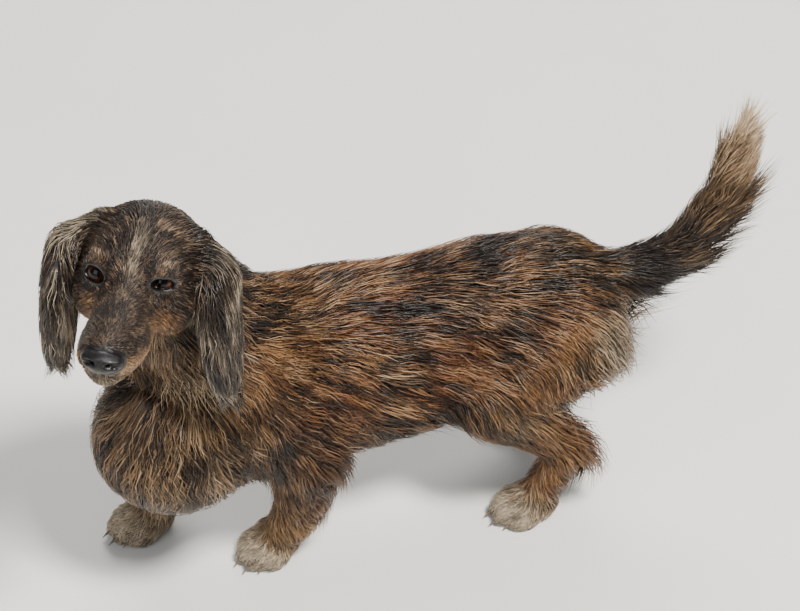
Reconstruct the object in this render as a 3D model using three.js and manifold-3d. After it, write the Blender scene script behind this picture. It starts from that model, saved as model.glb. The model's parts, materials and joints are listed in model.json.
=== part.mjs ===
// A standing long-haired dachshund at life size, for a museum model.
// Millimetres, +X towards the front of the body, +Y to the animal's left, +Z up, floor at z = 0.
// The rump lies along X. The chest, neck and head turn to the left, as in the pose.
// The body is a distance field of a few named forms, with one closed mesh over it.
// The coat is a smooth outer form, out to the tips of its hair.

import * as THREE from 'three';
import { mergeVertices } from 'three/addons/utils/BufferGeometryUtils.js';
import Module from 'manifold-3d';

const wasm = await Module();
wasm.setup();
const { Manifold, Mesh: SolidMesh } = wasm;

// Driving dimensions
const WITHERS_HEIGHT = 206; // skin height at the withers, without the coat
const GAP = 0.3; // clearance between pieces that touch
const CLEARANCE_SHARE = 1.4; // extra clearance, for the flats between the points of a mesh
const BODY_CORE = 8; // depth of the coat on the body
const LIMB_CORE = 3; // the same on the legs
const FACE_CORE = 1.2; // the short fur of the face
const THINNING = 0.02; // how far a face may shift where points are thinned out
const SHORTEST_EDGE = 0.1;
const EYE_RADIUS = 8.6;
const LID_DEPTH = 2.2;
const LID_OPENING = [17.5, 11]; // width and height between the lids
const MOUTH_LEVEL = -39; // height of the mouth below the eyes
const MOUTH_LINE = 0.8;
const LIP_RADIUS = 2.6;
const EAR_COAT = 2;
const CLAW_LENGTH = 9;
const CLAW_RADIUS = 2.3;
const EYE_SPACING = 37.5; // between the centres of the eyeballs
const SOLE_LEVEL = 0;

const degrees = THREE.MathUtils.degToRad;
const vector = (x, y, z) => new THREE.Vector3(x, y, z);
const DOWN = vector(0, 0, -1);
const UP = vector(0, 0, 1);

// Head frame: its origin lies midway between the eyes, and its axes are forward, left and up
const HEAD_ORIGIN = vector(205, 92, WITHERS_HEIGHT + 91);
const HEAD_YAW = degrees(68.7);
const HEAD_PITCH = degrees(20.7);
const HEAD_ROLL = degrees(8);
const HEAD = (() => {
  const forward = vector(
    Math.cos(HEAD_PITCH) * Math.cos(HEAD_YAW),
    Math.cos(HEAD_PITCH) * Math.sin(HEAD_YAW),
    Math.sin(HEAD_PITCH),
  );
  const levelLeft = vector(-Math.sin(HEAD_YAW), Math.cos(HEAD_YAW), 0);
  const levelUp = forward.clone().cross(levelLeft);
  const left = levelLeft.clone().multiplyScalar(Math.cos(HEAD_ROLL))
    .addScaledVector(levelUp, -Math.sin(HEAD_ROLL));
  return { forward, left, up: forward.clone().cross(left) };
})();

function onHead(forward, left, up) {
  return HEAD_ORIGIN.clone()
    .addScaledVector(HEAD.forward, forward)
    .addScaledVector(HEAD.left, left)
    .addScaledVector(HEAD.up, up);
}

// Frame of a form that is turned about the vertical by an angle in degrees
function turned(angle) {
  const a = degrees(angle);
  return {
    forward: vector(Math.cos(a), Math.sin(a), 0),
    left: vector(-Math.sin(a), Math.cos(a), 0),
    up: UP,
  };
}
const STRAIGHT = turned(0);

// Distance to an ellipsoid, close to exact near its surface
function egg(centre, radii, frame = STRAIGHT) {
  const [a, b, c] = radii;
  const offset = vector(0, 0, 0);
  return (p) => {
    offset.copy(p).sub(centre);
    const x = offset.dot(frame.forward);
    const y = offset.dot(frame.left);
    const z = offset.dot(frame.up);
    const k0 = Math.hypot(x / a, y / b, z / c);
    const k1 = Math.hypot(x / (a * a), y / (b * b), z / (c * c));
    return k1 < 1e-9 ? -Math.min(a, b, c) : (k0 * (k0 - 1)) / k1;
  };
}

// Distance to a cone with round ends, from radius r1 at a to radius r2 at b
function taper(a, b, r1, r2) {
  const ba = b.clone().sub(a);
  const l2 = ba.lengthSq();
  const rr = r1 - r2;
  const a2 = l2 - rr * rr;
  const il2 = 1 / l2;
  const pa = vector(0, 0, 0);
  const side = vector(0, 0, 0);
  return (p) => {
    pa.copy(p).sub(a);
    const y = pa.dot(ba);
    const z = y - l2;
    side.copy(pa).multiplyScalar(l2).addScaledVector(ba, -y);
    const x2 = side.lengthSq();
    const y2 = y * y * l2;
    const z2 = z * z * l2;
    const k = Math.sign(rr) * rr * rr * x2;
    if (Math.sign(z) * a2 * z2 > k) return Math.sqrt(x2 + z2) * il2 - r2;
    if (Math.sign(y) * a2 * y2 < k) return Math.sqrt(x2 + y2) * il2 - r1;
    return (Math.sqrt(x2 * a2 * il2) + y * rr) * il2 - r1;
  };
}

// Smooth union of forms, with one rounding radius
function blendOf(forms, radius, core) {
  return (p) => {
    let d = forms[0](p);
    for (let i = 1; i < forms.length; i++) {
      const e = forms[i](p);
      const h = Math.max(radius - Math.abs(d - e), 0) / radius;
      d = Math.min(d, e) - (h * h * radius) / 4;
    }
    return d - core;
  };
}

const bothSides = (make) => [make(1), make(-1)];

// Forms of the head, in the head frame
const headEgg = (f, l, u, radii) => egg(onHead(f, l, u), radii, HEAD);
const headTaper = (a, b, r1, r2) => taper(onHead(...a), onHead(...b), r1, r2);
const HEAD_FORMS = [
  headEgg(-38, 0, 0, [44, 34, 31]),
  headEgg(-72, 0, 2, [14, 15, 13]),
  headEgg(-14, 0, 2, [22, 24, 15.5]),
  ...bothSides((s) => headEgg(-5, s * 15, 8, [9, 8, 6.5])),
  ...bothSides((s) => headEgg(-26, s * 22, -18, [26, 13, 18])),
  headTaper([0, 0, -8], [52, 0, -23], 13, 9),
  headTaper([2, 0, -20], [51, 0, -29], 16.5, 12),
  ...bothSides((s) => headEgg(26, s * 8.5, -31, [26, 7, 8])),
  headTaper([-30, 0, -36], [45, 0, -40], 13, 8),
];

// Forms of the neck and the torso, in the body frame
const CHEST_TURN = 30;
const NECK_BASE = vector(135, 22, 165);
const NECK_MIDDLE = vector(170, 30, 215);
const NECK_TOP = onHead(-56, 0, -24);
const NECK_FORMS = [
  taper(NECK_BASE, NECK_MIDDLE, 46, 38),
  taper(NECK_MIDDLE, NECK_TOP, 38, 28),
];
const TORSO_FORMS = [
  egg(vector(60, 5, 131), [105, 50, 59], turned(5)),
  egg(vector(98, 8, 170), [55, 27, 23], turned(8)),
  egg(vector(-38, 0, 146), [78, 42, 46]),
  egg(vector(-82, 0, 141), [36, 38, 38]),
  egg(vector(10, 2, 122), [85, 40, 44]),
  egg(vector(108, 14, 96), [70, 34, 26], turned(10)),
  egg(vector(176, 37, 127), [54, 49, 50], turned(CHEST_TURN)),
];

// Legs: each is a chain of tapers from the joint points, hip or shoulder first
const LEGS = {
  foreleg_left: {
    joints: [vector(120, 48, 130), vector(97, 55, 92), vector(107, 44, 33), vector(113, 39, 18)],
    radii: [30, 19, 12.5, 12],
    paw: vector(121, 37, 11),
    heading: 30,
  },
  foreleg_right: {
    joints: [vector(160, -20, 132), vector(160, -34, 92), vector(183, -14, 33), vector(190, -9, 18)],
    radii: [30, 19, 12.5, 12],
    paw: vector(199, -6, 11),
    heading: 18,
  },
  hindleg_left: {
    joints: [vector(-82, 26, 146), vector(-38, 44, 104), vector(-80, 49, 55), vector(-60, 48, 18)],
    radii: [38, 26, 11, 10.5],
    paw: vector(-50, 47, 10),
    heading: 8,
  },
  hindleg_right: {
    joints: [vector(-86, -26, 146), vector(-50, -44, 104), vector(-96, -49, 55), vector(-76, -48, 18)],
    radii: [38, 26, 11, 10.5],
    paw: vector(-66, -47, 10),
    heading: -8,
  },
};

function legForms({ joints, radii }) {
  const forms = [];
  for (let i = 1; i < joints.length; i++) {
    forms.push(taper(joints[i - 1], joints[i], radii[i - 1], radii[i]));
  }
  return forms;
}

// Tail: a chain of tapers that rises behind the rump
const TAIL_LINE = [
  [vector(-92, 0, 158), 20],
  [vector(-136, 0, 151), 15],
  [vector(-170, -1, 157), 18],
  [vector(-199, -3, 190), 21],
  [vector(-215, -5, 230), 15],
  [vector(-217, -7, 258), 6],
];
const TAIL_FORMS = TAIL_LINE.slice(1).map(([point, radius], i) =>
  taper(TAIL_LINE[i][0], point, TAIL_LINE[i][1], radius));

// Fields that the meshes follow, with the core of the coat
const headField = blendOf(HEAD_FORMS, 9, FACE_CORE);
const neckField = blendOf(NECK_FORMS, 16, BODY_CORE + 1.5);
const torsoField = blendOf(TORSO_FORMS, 18, BODY_CORE);
const tailField = blendOf(TAIL_FORMS, 8, 0);
const legField = Object.fromEntries(
  Object.entries(LEGS).map(([name, leg]) => [name, blendOf(legForms(leg), 8, LIMB_CORE)]),
);

function slopeOf(field, p) {
  const step = 0.5;
  const q = p.clone();
  const partial = (key) => {
    q.copy(p)[key] += step;
    const high = field(q);
    q[key] -= 2 * step;
    return high - field(q);
  };
  return vector(partial('x'), partial('y'), partial('z')).normalize();
}

// The point where a ray that starts inside a field leaves it
function surfaceAlong(field, start, direction, reach) {
  const p = start.clone();
  let travelled = 0;
  while (travelled < reach) {
    const d = field(p);
    if (d > -0.02) break;
    const step = Math.min(Math.max(-0.8 * d, 0.25), reach - travelled);
    travelled += step;
    p.addScaledVector(direction, step);
  }
  return p;
}

// Closed geometry from rings of points, with a pole before the first ring and after the last
function ringsToGeometry(rings, firstPole, lastPole) {
  const sides = rings[0].length;
  const points = [firstPole, ...rings.flat(), lastPole];
  const last = points.length - 1;
  const at = (ring, side) => 1 + ring * sides + (side % sides);
  const index = [];
  for (let s = 0; s < sides; s++) {
    index.push(0, at(0, s + 1), at(0, s));
    for (let r = 0; r + 1 < rings.length; r++) {
      index.push(at(r, s), at(r, s + 1), at(r + 1, s));
      index.push(at(r, s + 1), at(r + 1, s + 1), at(r + 1, s));
    }
    index.push(last, at(rings.length - 1, s), at(rings.length - 1, s + 1));
  }
  const geometry = new THREE.BufferGeometry().setFromPoints(points);
  geometry.setIndex(index);
  return geometry;
}

// A solid for joining and cutting. A geometry that faces inwards is turned round.
function solidOf(geometry) {
  const bare = geometry.clone();
  bare.deleteAttribute('normal');
  bare.deleteAttribute('uv');
  const merged = mergeVertices(bare, 1e-4);
  const triVerts = new Uint32Array(merged.index.array);
  const vertProperties = new Float32Array(merged.attributes.position.array);
  const solid = new Manifold(new SolidMesh({ numProp: 3, vertProperties, triVerts }));
  if (solid.volume() > 0) return solid;
  for (let i = 0; i < triVerts.length; i += 3) {
    [triVerts[i + 1], triVerts[i + 2]] = [triVerts[i + 2], triVerts[i + 1]];
  }
  return new Manifold(new SolidMesh({ numProp: 3, vertProperties, triVerts }));
}

// The surface of a field as a closed mesh of quads, one vertex in each cell that it crosses.
// It covers the box round some points, with a margin. Growth moves each vertex outwards.
const CORNERS = [0, 1, 2, 3, 4, 5, 6, 7].map((c) => [c & 1, (c >> 1) & 1, (c >> 2) & 1]);
const EDGES = CORNERS.flatMap((corner, c) => [1, 2, 4].filter((bit) => !(c & bit)).map((bit) => [c, c | bit]));
function surfaceOf(field, around, margin, cell) {
  const box = new THREE.Box3().setFromPoints(around).expandByScalar(margin);
  const size = box.getSize(vector(0, 0, 0));
  const [nx, ny, nz] = [size.x, size.y, size.z].map((length) => Math.ceil(length / cell) + 1);
  const at = (x, y, z) => x + nx * (y + ny * z);
  const values = new Float32Array(nx * ny * nz);
  const p = vector(0, 0, 0);
  for (let z = 0; z < nz; z++) {
    for (let y = 0; y < ny; y++) {
      for (let x = 0; x < nx; x++) {
        p.set(x, y, z).multiplyScalar(cell).add(box.min);
        values[at(x, y, z)] = field(p);
      }
    }
  }
  const points = [];
  const vertexIn = new Map();
  for (let z = 0; z + 1 < nz; z++) {
    for (let y = 0; y + 1 < ny; y++) {
      for (let x = 0; x + 1 < nx; x++) {
        const sum = vector(0, 0, 0);
        let crossings = 0;
        for (const [c, d] of EDGES) {
          const [cx, cy, cz] = CORNERS[c];
          const [dx, dy, dz] = CORNERS[d];
          const v = values[at(x + cx, y + cy, z + cz)];
          const w = values[at(x + dx, y + dy, z + dz)];
          if (v < 0 === w < 0) continue;
          const t = v / (v - w);
          sum.add(p.set(cx + (dx - cx) * t, cy + (dy - cy) * t, cz + (dz - cz) * t));
          crossings += 1;
        }
        if (crossings === 0) continue;
        vertexIn.set(at(x, y, z), points.length);
        const point = sum.divideScalar(crossings).add(p.set(x, y, z)).multiplyScalar(cell).add(box.min);
        points.push(point.addScaledVector(slopeOf(field, point), -field(point)));
      }
    }
  }
  const index = [];
  const steps = [1, nx, nx * ny];
  for (const cellAt of vertexIn.keys()) {
    for (let axis = 0; axis < 3; axis++) {
      const v = values[cellAt];
      const w = values[cellAt + steps[axis]];
      if (v < 0 === w < 0) continue;
      const [a, b] = [steps[(axis + 1) % 3], steps[(axis + 2) % 3]];
      const quad = [cellAt, cellAt - a, cellAt - a - b, cellAt - b].map((key) => vertexIn.get(key));
      if (v >= 0) quad.reverse();
      index.push(quad[0], quad[1], quad[2], quad[0], quad[2], quad[3]);
    }
  }
  return (grow) => {
    const moved = points.map((point) =>
      point.clone().addScaledVector(slopeOf(field, point), grow > 0 ? grow * CLEARANCE_SHARE : 0));
    const geometry = new THREE.BufferGeometry().setFromPoints(moved);
    geometry.setIndex(index);
    return solidOf(geometry);
  };
}

// A closed ellipsoid mesh in a frame
function ball(centre, radii, frame = STRAIGHT, around = 14, high = 9) {
  const geometry = new THREE.SphereGeometry(1, around, high);
  const axes = new THREE.Matrix4().makeBasis(frame.forward, frame.left, frame.up);
  axes.scale(vector(...radii)).setPosition(centre);
  return solidOf(geometry.applyMatrix4(axes));
}

function boxBetween(low, high) {
  const size = high.clone().sub(low);
  const geometry = new THREE.BoxGeometry(size.x, size.y, size.z);
  const middle = low.clone().add(high).multiplyScalar(0.5);
  return solidOf(geometry.translate(middle.x, middle.y, middle.z));
}

const joined = (solids) => Manifold.union(solids);
const largestOf = (solid) =>
  solid.decompose().reduce((best, piece) => (piece.volume() > best.volume() ? piece : best));

const TORSO_AXIS = [
  vector(-92, 0, 154), vector(-35, 0, 155), vector(30, 2, 148),
  vector(95, 10, 140), vector(150, 28, 132), vector(176, 38, 128),
];
// Shapes of the nodes. Each takes a growth, which is above 0 for the clearance round it.
const torsoBody = surfaceOf(torsoField, TORSO_AXIS, 100, 18);
const torso = (grow) => torsoBody(grow);

const NECK_AXIS = [NECK_BASE, NECK_MIDDLE, NECK_TOP];
const neck = surfaceOf(neckField, NECK_AXIS, 62, 15);

// Head: skull and muzzle, with lids that stand proud of the face and lips on either side of the mouth
const HEAD_AXIS = [onHead(-56, 0, -4), onHead(-24, 0, -9), onHead(15, 0, -22), onHead(47, 0, -29)];
const skull = surfaceOf(headField, HEAD_AXIS, 52, 8.5);
const EYES = bothSides((s) => onHead(-7, (s * EYE_SPACING) / 2, -1.5));
const GAZES = bothSides((s) => HEAD.forward.clone().addScaledVector(HEAD.left, 0.35 * s).normalize());
const eye = (side) => (grow) => {
  const r = EYE_RADIUS + grow;
  return ball(EYES[side], [r, r, r], HEAD, 12, 8);
};

function lids(side) {
  const r = EYE_RADIUS + LID_DEPTH;
  const gaze = GAZES[side];
  const across = UP.clone().cross(gaze).normalize();
  const frame = { forward: gaze, left: across, up: gaze.clone().cross(across) };
  const opening = EYES[side].clone().addScaledVector(gaze, EYE_RADIUS);
  const slit = ball(opening, [7, LID_OPENING[0] / 2, LID_OPENING[1] / 2], frame, 12, 8);
  return ball(EYES[side], [r, r, r], frame, 10, 8).subtract(slit);
}

// The mouth runs from under the nose back along each cheek
const MOUTH = [[24, 40], [40, 28], [54, 13], [58, 0]];
function mouthPoint(share, side, raise, out) {
  const path = new THREE.CatmullRomCurve3(MOUTH.map(([f, l]) => vector(f, l, 0)));
  const { x: f, y: l } = path.getPoint(share);
  const outward = HEAD.left.clone().multiplyScalar(side * l * 0.9)
    .addScaledVector(HEAD.forward, Math.max(f - 30, 0) * 0.9).normalize();
  const start = onHead(Math.min(f, 44), 0, MOUTH_LEVEL + raise);
  return surfaceAlong(headField, start, outward, 60).addScaledVector(outward, out);
}

function mouthTube(radius, raise, out) {
  const steps = 10;
  const points = [];
  for (let i = 0; i <= steps; i++) {
    const t = i / steps;
    const side = t < 0.5 ? 1 : -1;
    points.push(mouthPoint(1 - Math.abs(2 * t - 1), side, raise, out));
  }
  const curve = new THREE.CatmullRomCurve3(points);
  const rings = [];
  for (let i = 0; i <= steps; i++) {
    const t = i / steps;
    const thick = radius * Math.min(1, 0.45 + 2.2 * Math.min(t, 1 - t));
    const along = curve.getTangent(t);
    const across = along.clone().cross(HEAD.up).normalize();
    rings.push([0, 1, 2, 3].map((k) => curve.getPoint(t)
      .addScaledVector(across, thick * Math.cos((Math.PI * k) / 2))
      .addScaledVector(HEAD.up, thick * Math.sin((Math.PI * k) / 2))));
  }
  return solidOf(ringsToGeometry(rings, points[0], points[steps]));
}

const head = (grow) => {
  if (grow > 0) return skull(grow);
  return joined([
    skull(0), lids(0), lids(1), mouthTube(LIP_RADIUS, 2.4, -1), mouthTube(LIP_RADIUS, -2.2, -1.2),
  ]).subtract(mouthTube(MOUTH_LINE, 0, 0.2));
};

const NOSTRIL_SIZE = [6, 2.4, 2.1];
const nose = (grow) => {
  const leather = ball(onHead(61, 0, -25), [9.5 + grow, 12 + grow, 9 + grow], HEAD, 14, 10);
  if (grow > 0) return leather;
  const holes = bothSides((s) => ball(onHead(69, s * 5.2, -24.5), NOSTRIL_SIZE, HEAD, 6, 5));
  return holes.reduce((solid, hole) => solid.subtract(hole), leather);
};

// Ear: a flap that is rooted beside the skull and hangs, with a hollow on its inner face
function ear(side) {
  const core = (f, l, u) => onHead(f, side * l, u);
  const lean = vector(0, 0, -1);
  const left = HEAD.left.clone().multiplyScalar(side);
  const down = lean.addScaledVector(left, 0.1).normalize();
  const front = left.clone().cross(down).multiplyScalar(side).normalize();
  const frame = { forward: front, left: down.clone().cross(front).normalize(), up: down.clone().negate() };
  const flap = core(-38, 47, -24).addScaledVector(down, 14);
  const field = blendOf([
    taper(core(-38, 27, 12), core(-39, 45, -3), 11, 9),
    egg(core(-39, 46, -14), [22, 8, 20], frame),
    egg(flap, [27, 7, 44], frame),
  ], 8, EAR_COAT);
  const axis = [core(-38, 27, 12), core(-39, 45, -6), flap, flap.clone().addScaledVector(down, 28)];
  const cup = flap.clone().addScaledVector(frame.left, -Math.sign(frame.left.dot(left)) * 12);
  const flapBody = surfaceOf(field, axis, 48, 7.5);
  return (grow) => {
    const outer = flapBody(grow);
    if (grow > 0) return outer;
    return outer.subtract(ball(cup, [19, 9, 30], frame, 12, 8));
  };
}

const tailBody = surfaceOf(tailField, TAIL_LINE.map(([point]) => point), 34, 10);
const tail = (grow) => tailBody(grow).subtract(torsoBody(GAP - grow));

// The hips leave a slab along the middle of the rump to the torso
const middleSlab = (grow) => boxBetween(vector(-300, -14 - grow, -10), vector(60, 14 + grow, 400));
function leg(name) {
  const shape = surfaceOf(legField[name], LEGS[name].joints, 46, 11);
  return name.startsWith('hind') ? (grow) => shape(grow).subtract(middleSlab(GAP - grow)) : shape;
}

// Paw: four toes and a pad, cut flat where it stands, and a claw at the end of each toe
const TOES = [[7, -11.5, 7.5], [13, -4.3, 8.5], [13, 4.3, 8.5], [7, 11.5, 7.5]];
function pawPoint(name, f, l, u) {
  const { paw: centre, heading } = LEGS[name];
  const frame = turned(heading);
  return centre.clone().addScaledVector(frame.forward, f).addScaledVector(frame.left, l).setZ(u);
}

function paw(name) {
  const frame = turned(LEGS[name].heading);
  const toes = TOES.map(([f, l, r]) => egg(pawPoint(name, f, l, r - 1), [r + 3, 6.4, r], frame));
  const field = blendOf([...toes, egg(pawPoint(name, -4, 0, 10), [17, 15, 12], frame)], 3, 0);
  const shape = surfaceOf(field, [pawPoint(name, 0, 0, 10)], 28, 6.5);
  const floor = boxBetween(vector(-600, -600, -60), vector(600, 600, SOLE_LEVEL));
  return (grow) => (grow > 0 ? shape(grow) : shape(0).subtract(floor));
}

function claw(name, toe) {
  const [f, l, r] = TOES[toe];
  const ahead = turned(LEGS[name].heading).forward;
  const stations = 4;
  return (grow) => {
    const rings = [];
    const centreAt = (t) => pawPoint(name, f + r - 1 + CLAW_LENGTH * t, l, 6.6 - 4.2 * t * t);
    for (let i = 0; i < stations; i++) {
      const t = i / stations;
      const radius = CLAW_RADIUS * (1 - 0.75 * t) + grow;
      const across = ahead.clone().cross(UP).normalize();
      rings.push([0, 1, 2, 3, 4, 5].map((k) => centreAt(t)
        .addScaledVector(across, radius * 0.8 * Math.cos((Math.PI * k) / 3))
        .addScaledVector(UP, radius * Math.sin((Math.PI * k) / 3))));
    }
    const back = centreAt(0).addScaledVector(ahead, -grow);
    return solidOf(ringsToGeometry(rings, back, centreAt(1).addScaledVector(ahead, grow)));
  };
}

// Fewer points on flats and along straight creases: a point is drawn into a neighbour
// where the faces round it stay within a tolerance, and wherever the two lie very close.
function thinned(points, faces, tolerance, shortest) {
  const around = points.map(() => new Set());
  faces.forEach((face, i) => face.forEach((v) => around[v].add(i)));
  const [ab, ac, before, after, offset] = [0, 1, 2, 3, 4].map(() => vector(0, 0, 0));
  const areaVector = (out, a, b, c) => out.crossVectors(ab.subVectors(b, a), ac.subVectors(c, a));
  const ringOf = (v) => new Set([...around[v]].flatMap((i) => faces[i]).filter((w) => w !== v));
  function mayMove(u, v) {
    const ring = ringOf(v);
    if ([...ringOf(u)].filter((w) => ring.has(w)).length !== 2) return false;
    const close = points[u].distanceTo(points[v]) < shortest;
    offset.subVectors(points[u], points[v]);
    for (const i of around[u]) {
      if (faces[i].includes(v)) continue;
      areaVector(before, ...faces[i].map((w) => points[w]));
      areaVector(after, ...faces[i].map((w) => points[w === u ? v : w]));
      const [was, is] = [before.length(), after.length()];
      if (is < 1e-3) return false;
      if (was > 2e-2 && before.dot(after) < 0.35 * was * is) return false;
      if (!close && Math.abs(offset.dot(after)) > tolerance * is) return false;
    }
    return true;
  }
  for (let pass = 0; pass < 4; pass++) {
    for (let u = 0; u < points.length; u++) {
      if (around[u].size === 0) continue;
      const distance = (v) => points[u].distanceToSquared(points[v]);
      const near = [...ringOf(u)].sort((a, b) => distance(a) - distance(b));
      const target = near.find((v) => mayMove(u, v));
      if (target === undefined) continue;
      for (const i of around[u]) {
        if (faces[i].includes(target)) {
          faces[i].filter((w) => w !== u).forEach((w) => around[w].delete(i));
          faces[i] = [];
        } else {
          faces[i] = faces[i].map((w) => (w === u ? target : w));
          around[target].add(i);
        }
      }
      around[u].clear();
    }
  }
  return faces.filter((face) => face.length === 3);
}

// Nodes in order of precedence: each is cut clear of the earlier ones that it names
const pawOf = (leg) => 'paw_' + leg.replace('leg', '');
const clawsOf = (leg) => TOES.map((_, toe) => `claw_${leg.replace('leg', '')}_${toe + 1}`);
const legNodes = (name) => [
  ...clawsOf(name).map((label, toe) => [label, claw(name, toe), []]),
  [pawOf(name), paw(name), clawsOf(name)],
  [name, leg(name), [pawOf(name), 'neck', 'tail']],
];
const NODES = [
  ['eye_left', eye(0), []],
  ['eye_right', eye(1), []],
  ['nose', nose, []],
  ['head', head, ['eye_left', 'eye_right', 'nose']],
  ['ear_left', ear(1), ['head']],
  ['ear_right', ear(-1), ['head']],
  ['neck', neck, ['head', 'ear_left', 'ear_right']],
  ['tail', tail, []],
  ...Object.keys(LEGS).flatMap(legNodes),
  ['torso', torso, ['neck', 'ear_left', 'ear_right', 'tail', ...Object.keys(LEGS)]],
];

const FUR_COLOUR = 0x3a2418;
const HORN_COLOUR = 0x1d1713;
const COLOURS = { nose: 0x17171a, eye_left: 0x2a1a12, eye_right: 0x2a1a12 };
const colourOf = (name) => COLOURS[name] ?? (name.startsWith('claw') ? HORN_COLOUR : FUR_COLOUR);

const dog = new THREE.Group();
const shapes = new Map(NODES.map(([name, shape]) => [name, shape]));
const clearances = new Map();
function clearanceOf(name) {
  if (!clearances.has(name)) clearances.set(name, shapes.get(name)(GAP));
  return clearances.get(name);
}
const bounds = new THREE.Box3();
for (const [name, shape, cutBy] of NODES) {
  let solid = shape(0);
  for (const other of cutBy) solid = solid.subtract(clearanceOf(other));
  solid = largestOf(solid);
  const { vertProperties, triVerts, numProp } = solid.getMesh();
  const points = [];
  for (let i = 0; i < vertProperties.length; i += numProp) {
    points.push(vector(vertProperties[i], vertProperties[i + 1], vertProperties[i + 2]));
  }
  const faces = [];
  for (let i = 0; i < triVerts.length; i += 3) faces.push([triVerts[i], triVerts[i + 1], triVerts[i + 2]]);
  const geometry = new THREE.BufferGeometry().setFromPoints(points);
  geometry.setIndex(thinned(points, faces, THINNING, SHORTEST_EDGE).flat());
  const used = mergeVertices(geometry.toNonIndexed(), 1e-5);
  used.computeBoundingBox();
  bounds.union(used.boundingBox);
  const material = new THREE.MeshStandardMaterial({
    color: colourOf(name), roughness: name.startsWith('eye') ? 0.1 : 0.75, metalness: 0,
  });
  const mesh = new THREE.Mesh(used, material);
  mesh.name = name;
  dog.add(mesh);
}

// The frame's origin lies on the floor, under the middle of the model
const middle = bounds.getCenter(vector(0, 0, 0));
dog.position.set(-middle.x, -middle.y, -bounds.min.z);

export default dog;
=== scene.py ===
"""A standing long-haired dachshund at life size: one skin, a coat of fine tufts, eyes, nose and claws."""

import json
import logging
import math
from dataclasses import dataclass, field
from enum import Enum

import bpy
import numpy as np
from mathutils import Matrix, Vector
from mathutils.kdtree import KDTree

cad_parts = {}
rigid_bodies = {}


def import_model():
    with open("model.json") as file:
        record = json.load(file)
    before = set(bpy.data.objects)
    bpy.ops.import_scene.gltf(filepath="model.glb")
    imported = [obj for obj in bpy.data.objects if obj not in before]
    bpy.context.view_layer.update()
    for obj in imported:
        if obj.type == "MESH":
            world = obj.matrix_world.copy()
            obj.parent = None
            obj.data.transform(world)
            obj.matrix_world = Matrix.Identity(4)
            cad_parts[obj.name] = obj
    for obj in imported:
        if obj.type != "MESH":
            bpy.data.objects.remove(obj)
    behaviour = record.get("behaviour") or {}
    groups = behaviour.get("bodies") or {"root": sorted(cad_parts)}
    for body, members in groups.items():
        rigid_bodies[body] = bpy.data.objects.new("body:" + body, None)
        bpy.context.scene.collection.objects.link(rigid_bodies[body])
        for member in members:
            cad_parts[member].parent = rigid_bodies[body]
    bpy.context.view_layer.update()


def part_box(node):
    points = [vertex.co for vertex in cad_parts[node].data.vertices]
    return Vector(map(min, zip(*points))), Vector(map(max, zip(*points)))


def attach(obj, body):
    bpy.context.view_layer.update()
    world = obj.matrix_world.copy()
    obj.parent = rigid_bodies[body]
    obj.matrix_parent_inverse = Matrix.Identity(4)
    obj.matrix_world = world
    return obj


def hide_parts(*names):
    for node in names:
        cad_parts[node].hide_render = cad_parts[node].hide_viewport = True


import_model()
LOG = logging.getLogger("dachshund")
Array = np.ndarray
SEED = 20407

# Head frame: the origin lies midway between the eyes. All body sizes are in millimetres,
# with X to the front of the body, Y to its left and Z up, as the animal stands.
HEAD_ORIGIN = np.array([205.0, 92.0, 297.0])
HEAD_YAW, HEAD_PITCH, HEAD_ROLL = (math.radians(a) for a in (68.7, 20.7, 8.0))
PACKED_LEFT_EYE = (-7, 18.75, -1.5)  # the middle of the solid left eye, on the head


def unit(v: Array) -> Array:
    """Vectors of length one along the last axis."""
    return v / np.maximum(np.linalg.norm(v, axis=-1, keepdims=True), 1e-9)


def head_axes() -> Array:
    """Forward, left and up of the head as three rows."""
    forward = np.array([
        math.cos(HEAD_PITCH) * math.cos(HEAD_YAW),
        math.cos(HEAD_PITCH) * math.sin(HEAD_YAW),
        math.sin(HEAD_PITCH),
    ])
    level_left = np.array([-math.sin(HEAD_YAW), math.cos(HEAD_YAW), 0.0])
    level_up = np.cross(forward, level_left)
    left = level_left * math.cos(HEAD_ROLL) - level_up * math.sin(HEAD_ROLL)
    return np.array([forward, left, np.cross(forward, left)])


HEAD = head_axes()
DOWN = np.array([0.0, 0.0, -1.0])


def on_head(f: float, l: float, u: float) -> Array:
    """A place given in the head frame."""
    return HEAD_ORIGIN + np.array([f, l, u]) @ HEAD


def in_head(p: Array) -> Array:
    """Places as forward, left and up in the head frame."""
    return (p - HEAD_ORIGIN) @ HEAD.T


def turned(angle: float) -> Array:
    """Axes turned about the vertical by an angle in degrees."""
    a = math.radians(angle)
    return np.array([[math.cos(a), math.sin(a), 0.0], [-math.sin(a), math.cos(a), 0.0], [0.0, 0.0, 1.0]])


def smooth(low: float, high: float, x: Array) -> Array:
    """A soft step from 0 at low to 1 at high."""
    t = np.clip((x - low) / (high - low), 0.0, 1.0)
    return t * t * (3.0 - 2.0 * t)


def spot(p: Array, centre: Array, radii: tuple[float, float, float], axes: Array = np.eye(3)) -> Array:
    """A soft patch: 1 at its centre, falling to 0 past its radii."""
    q = (p - centre) @ axes.T / np.array(radii)
    return np.exp(-1.3 * np.sum(q * q, axis=-1))


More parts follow.
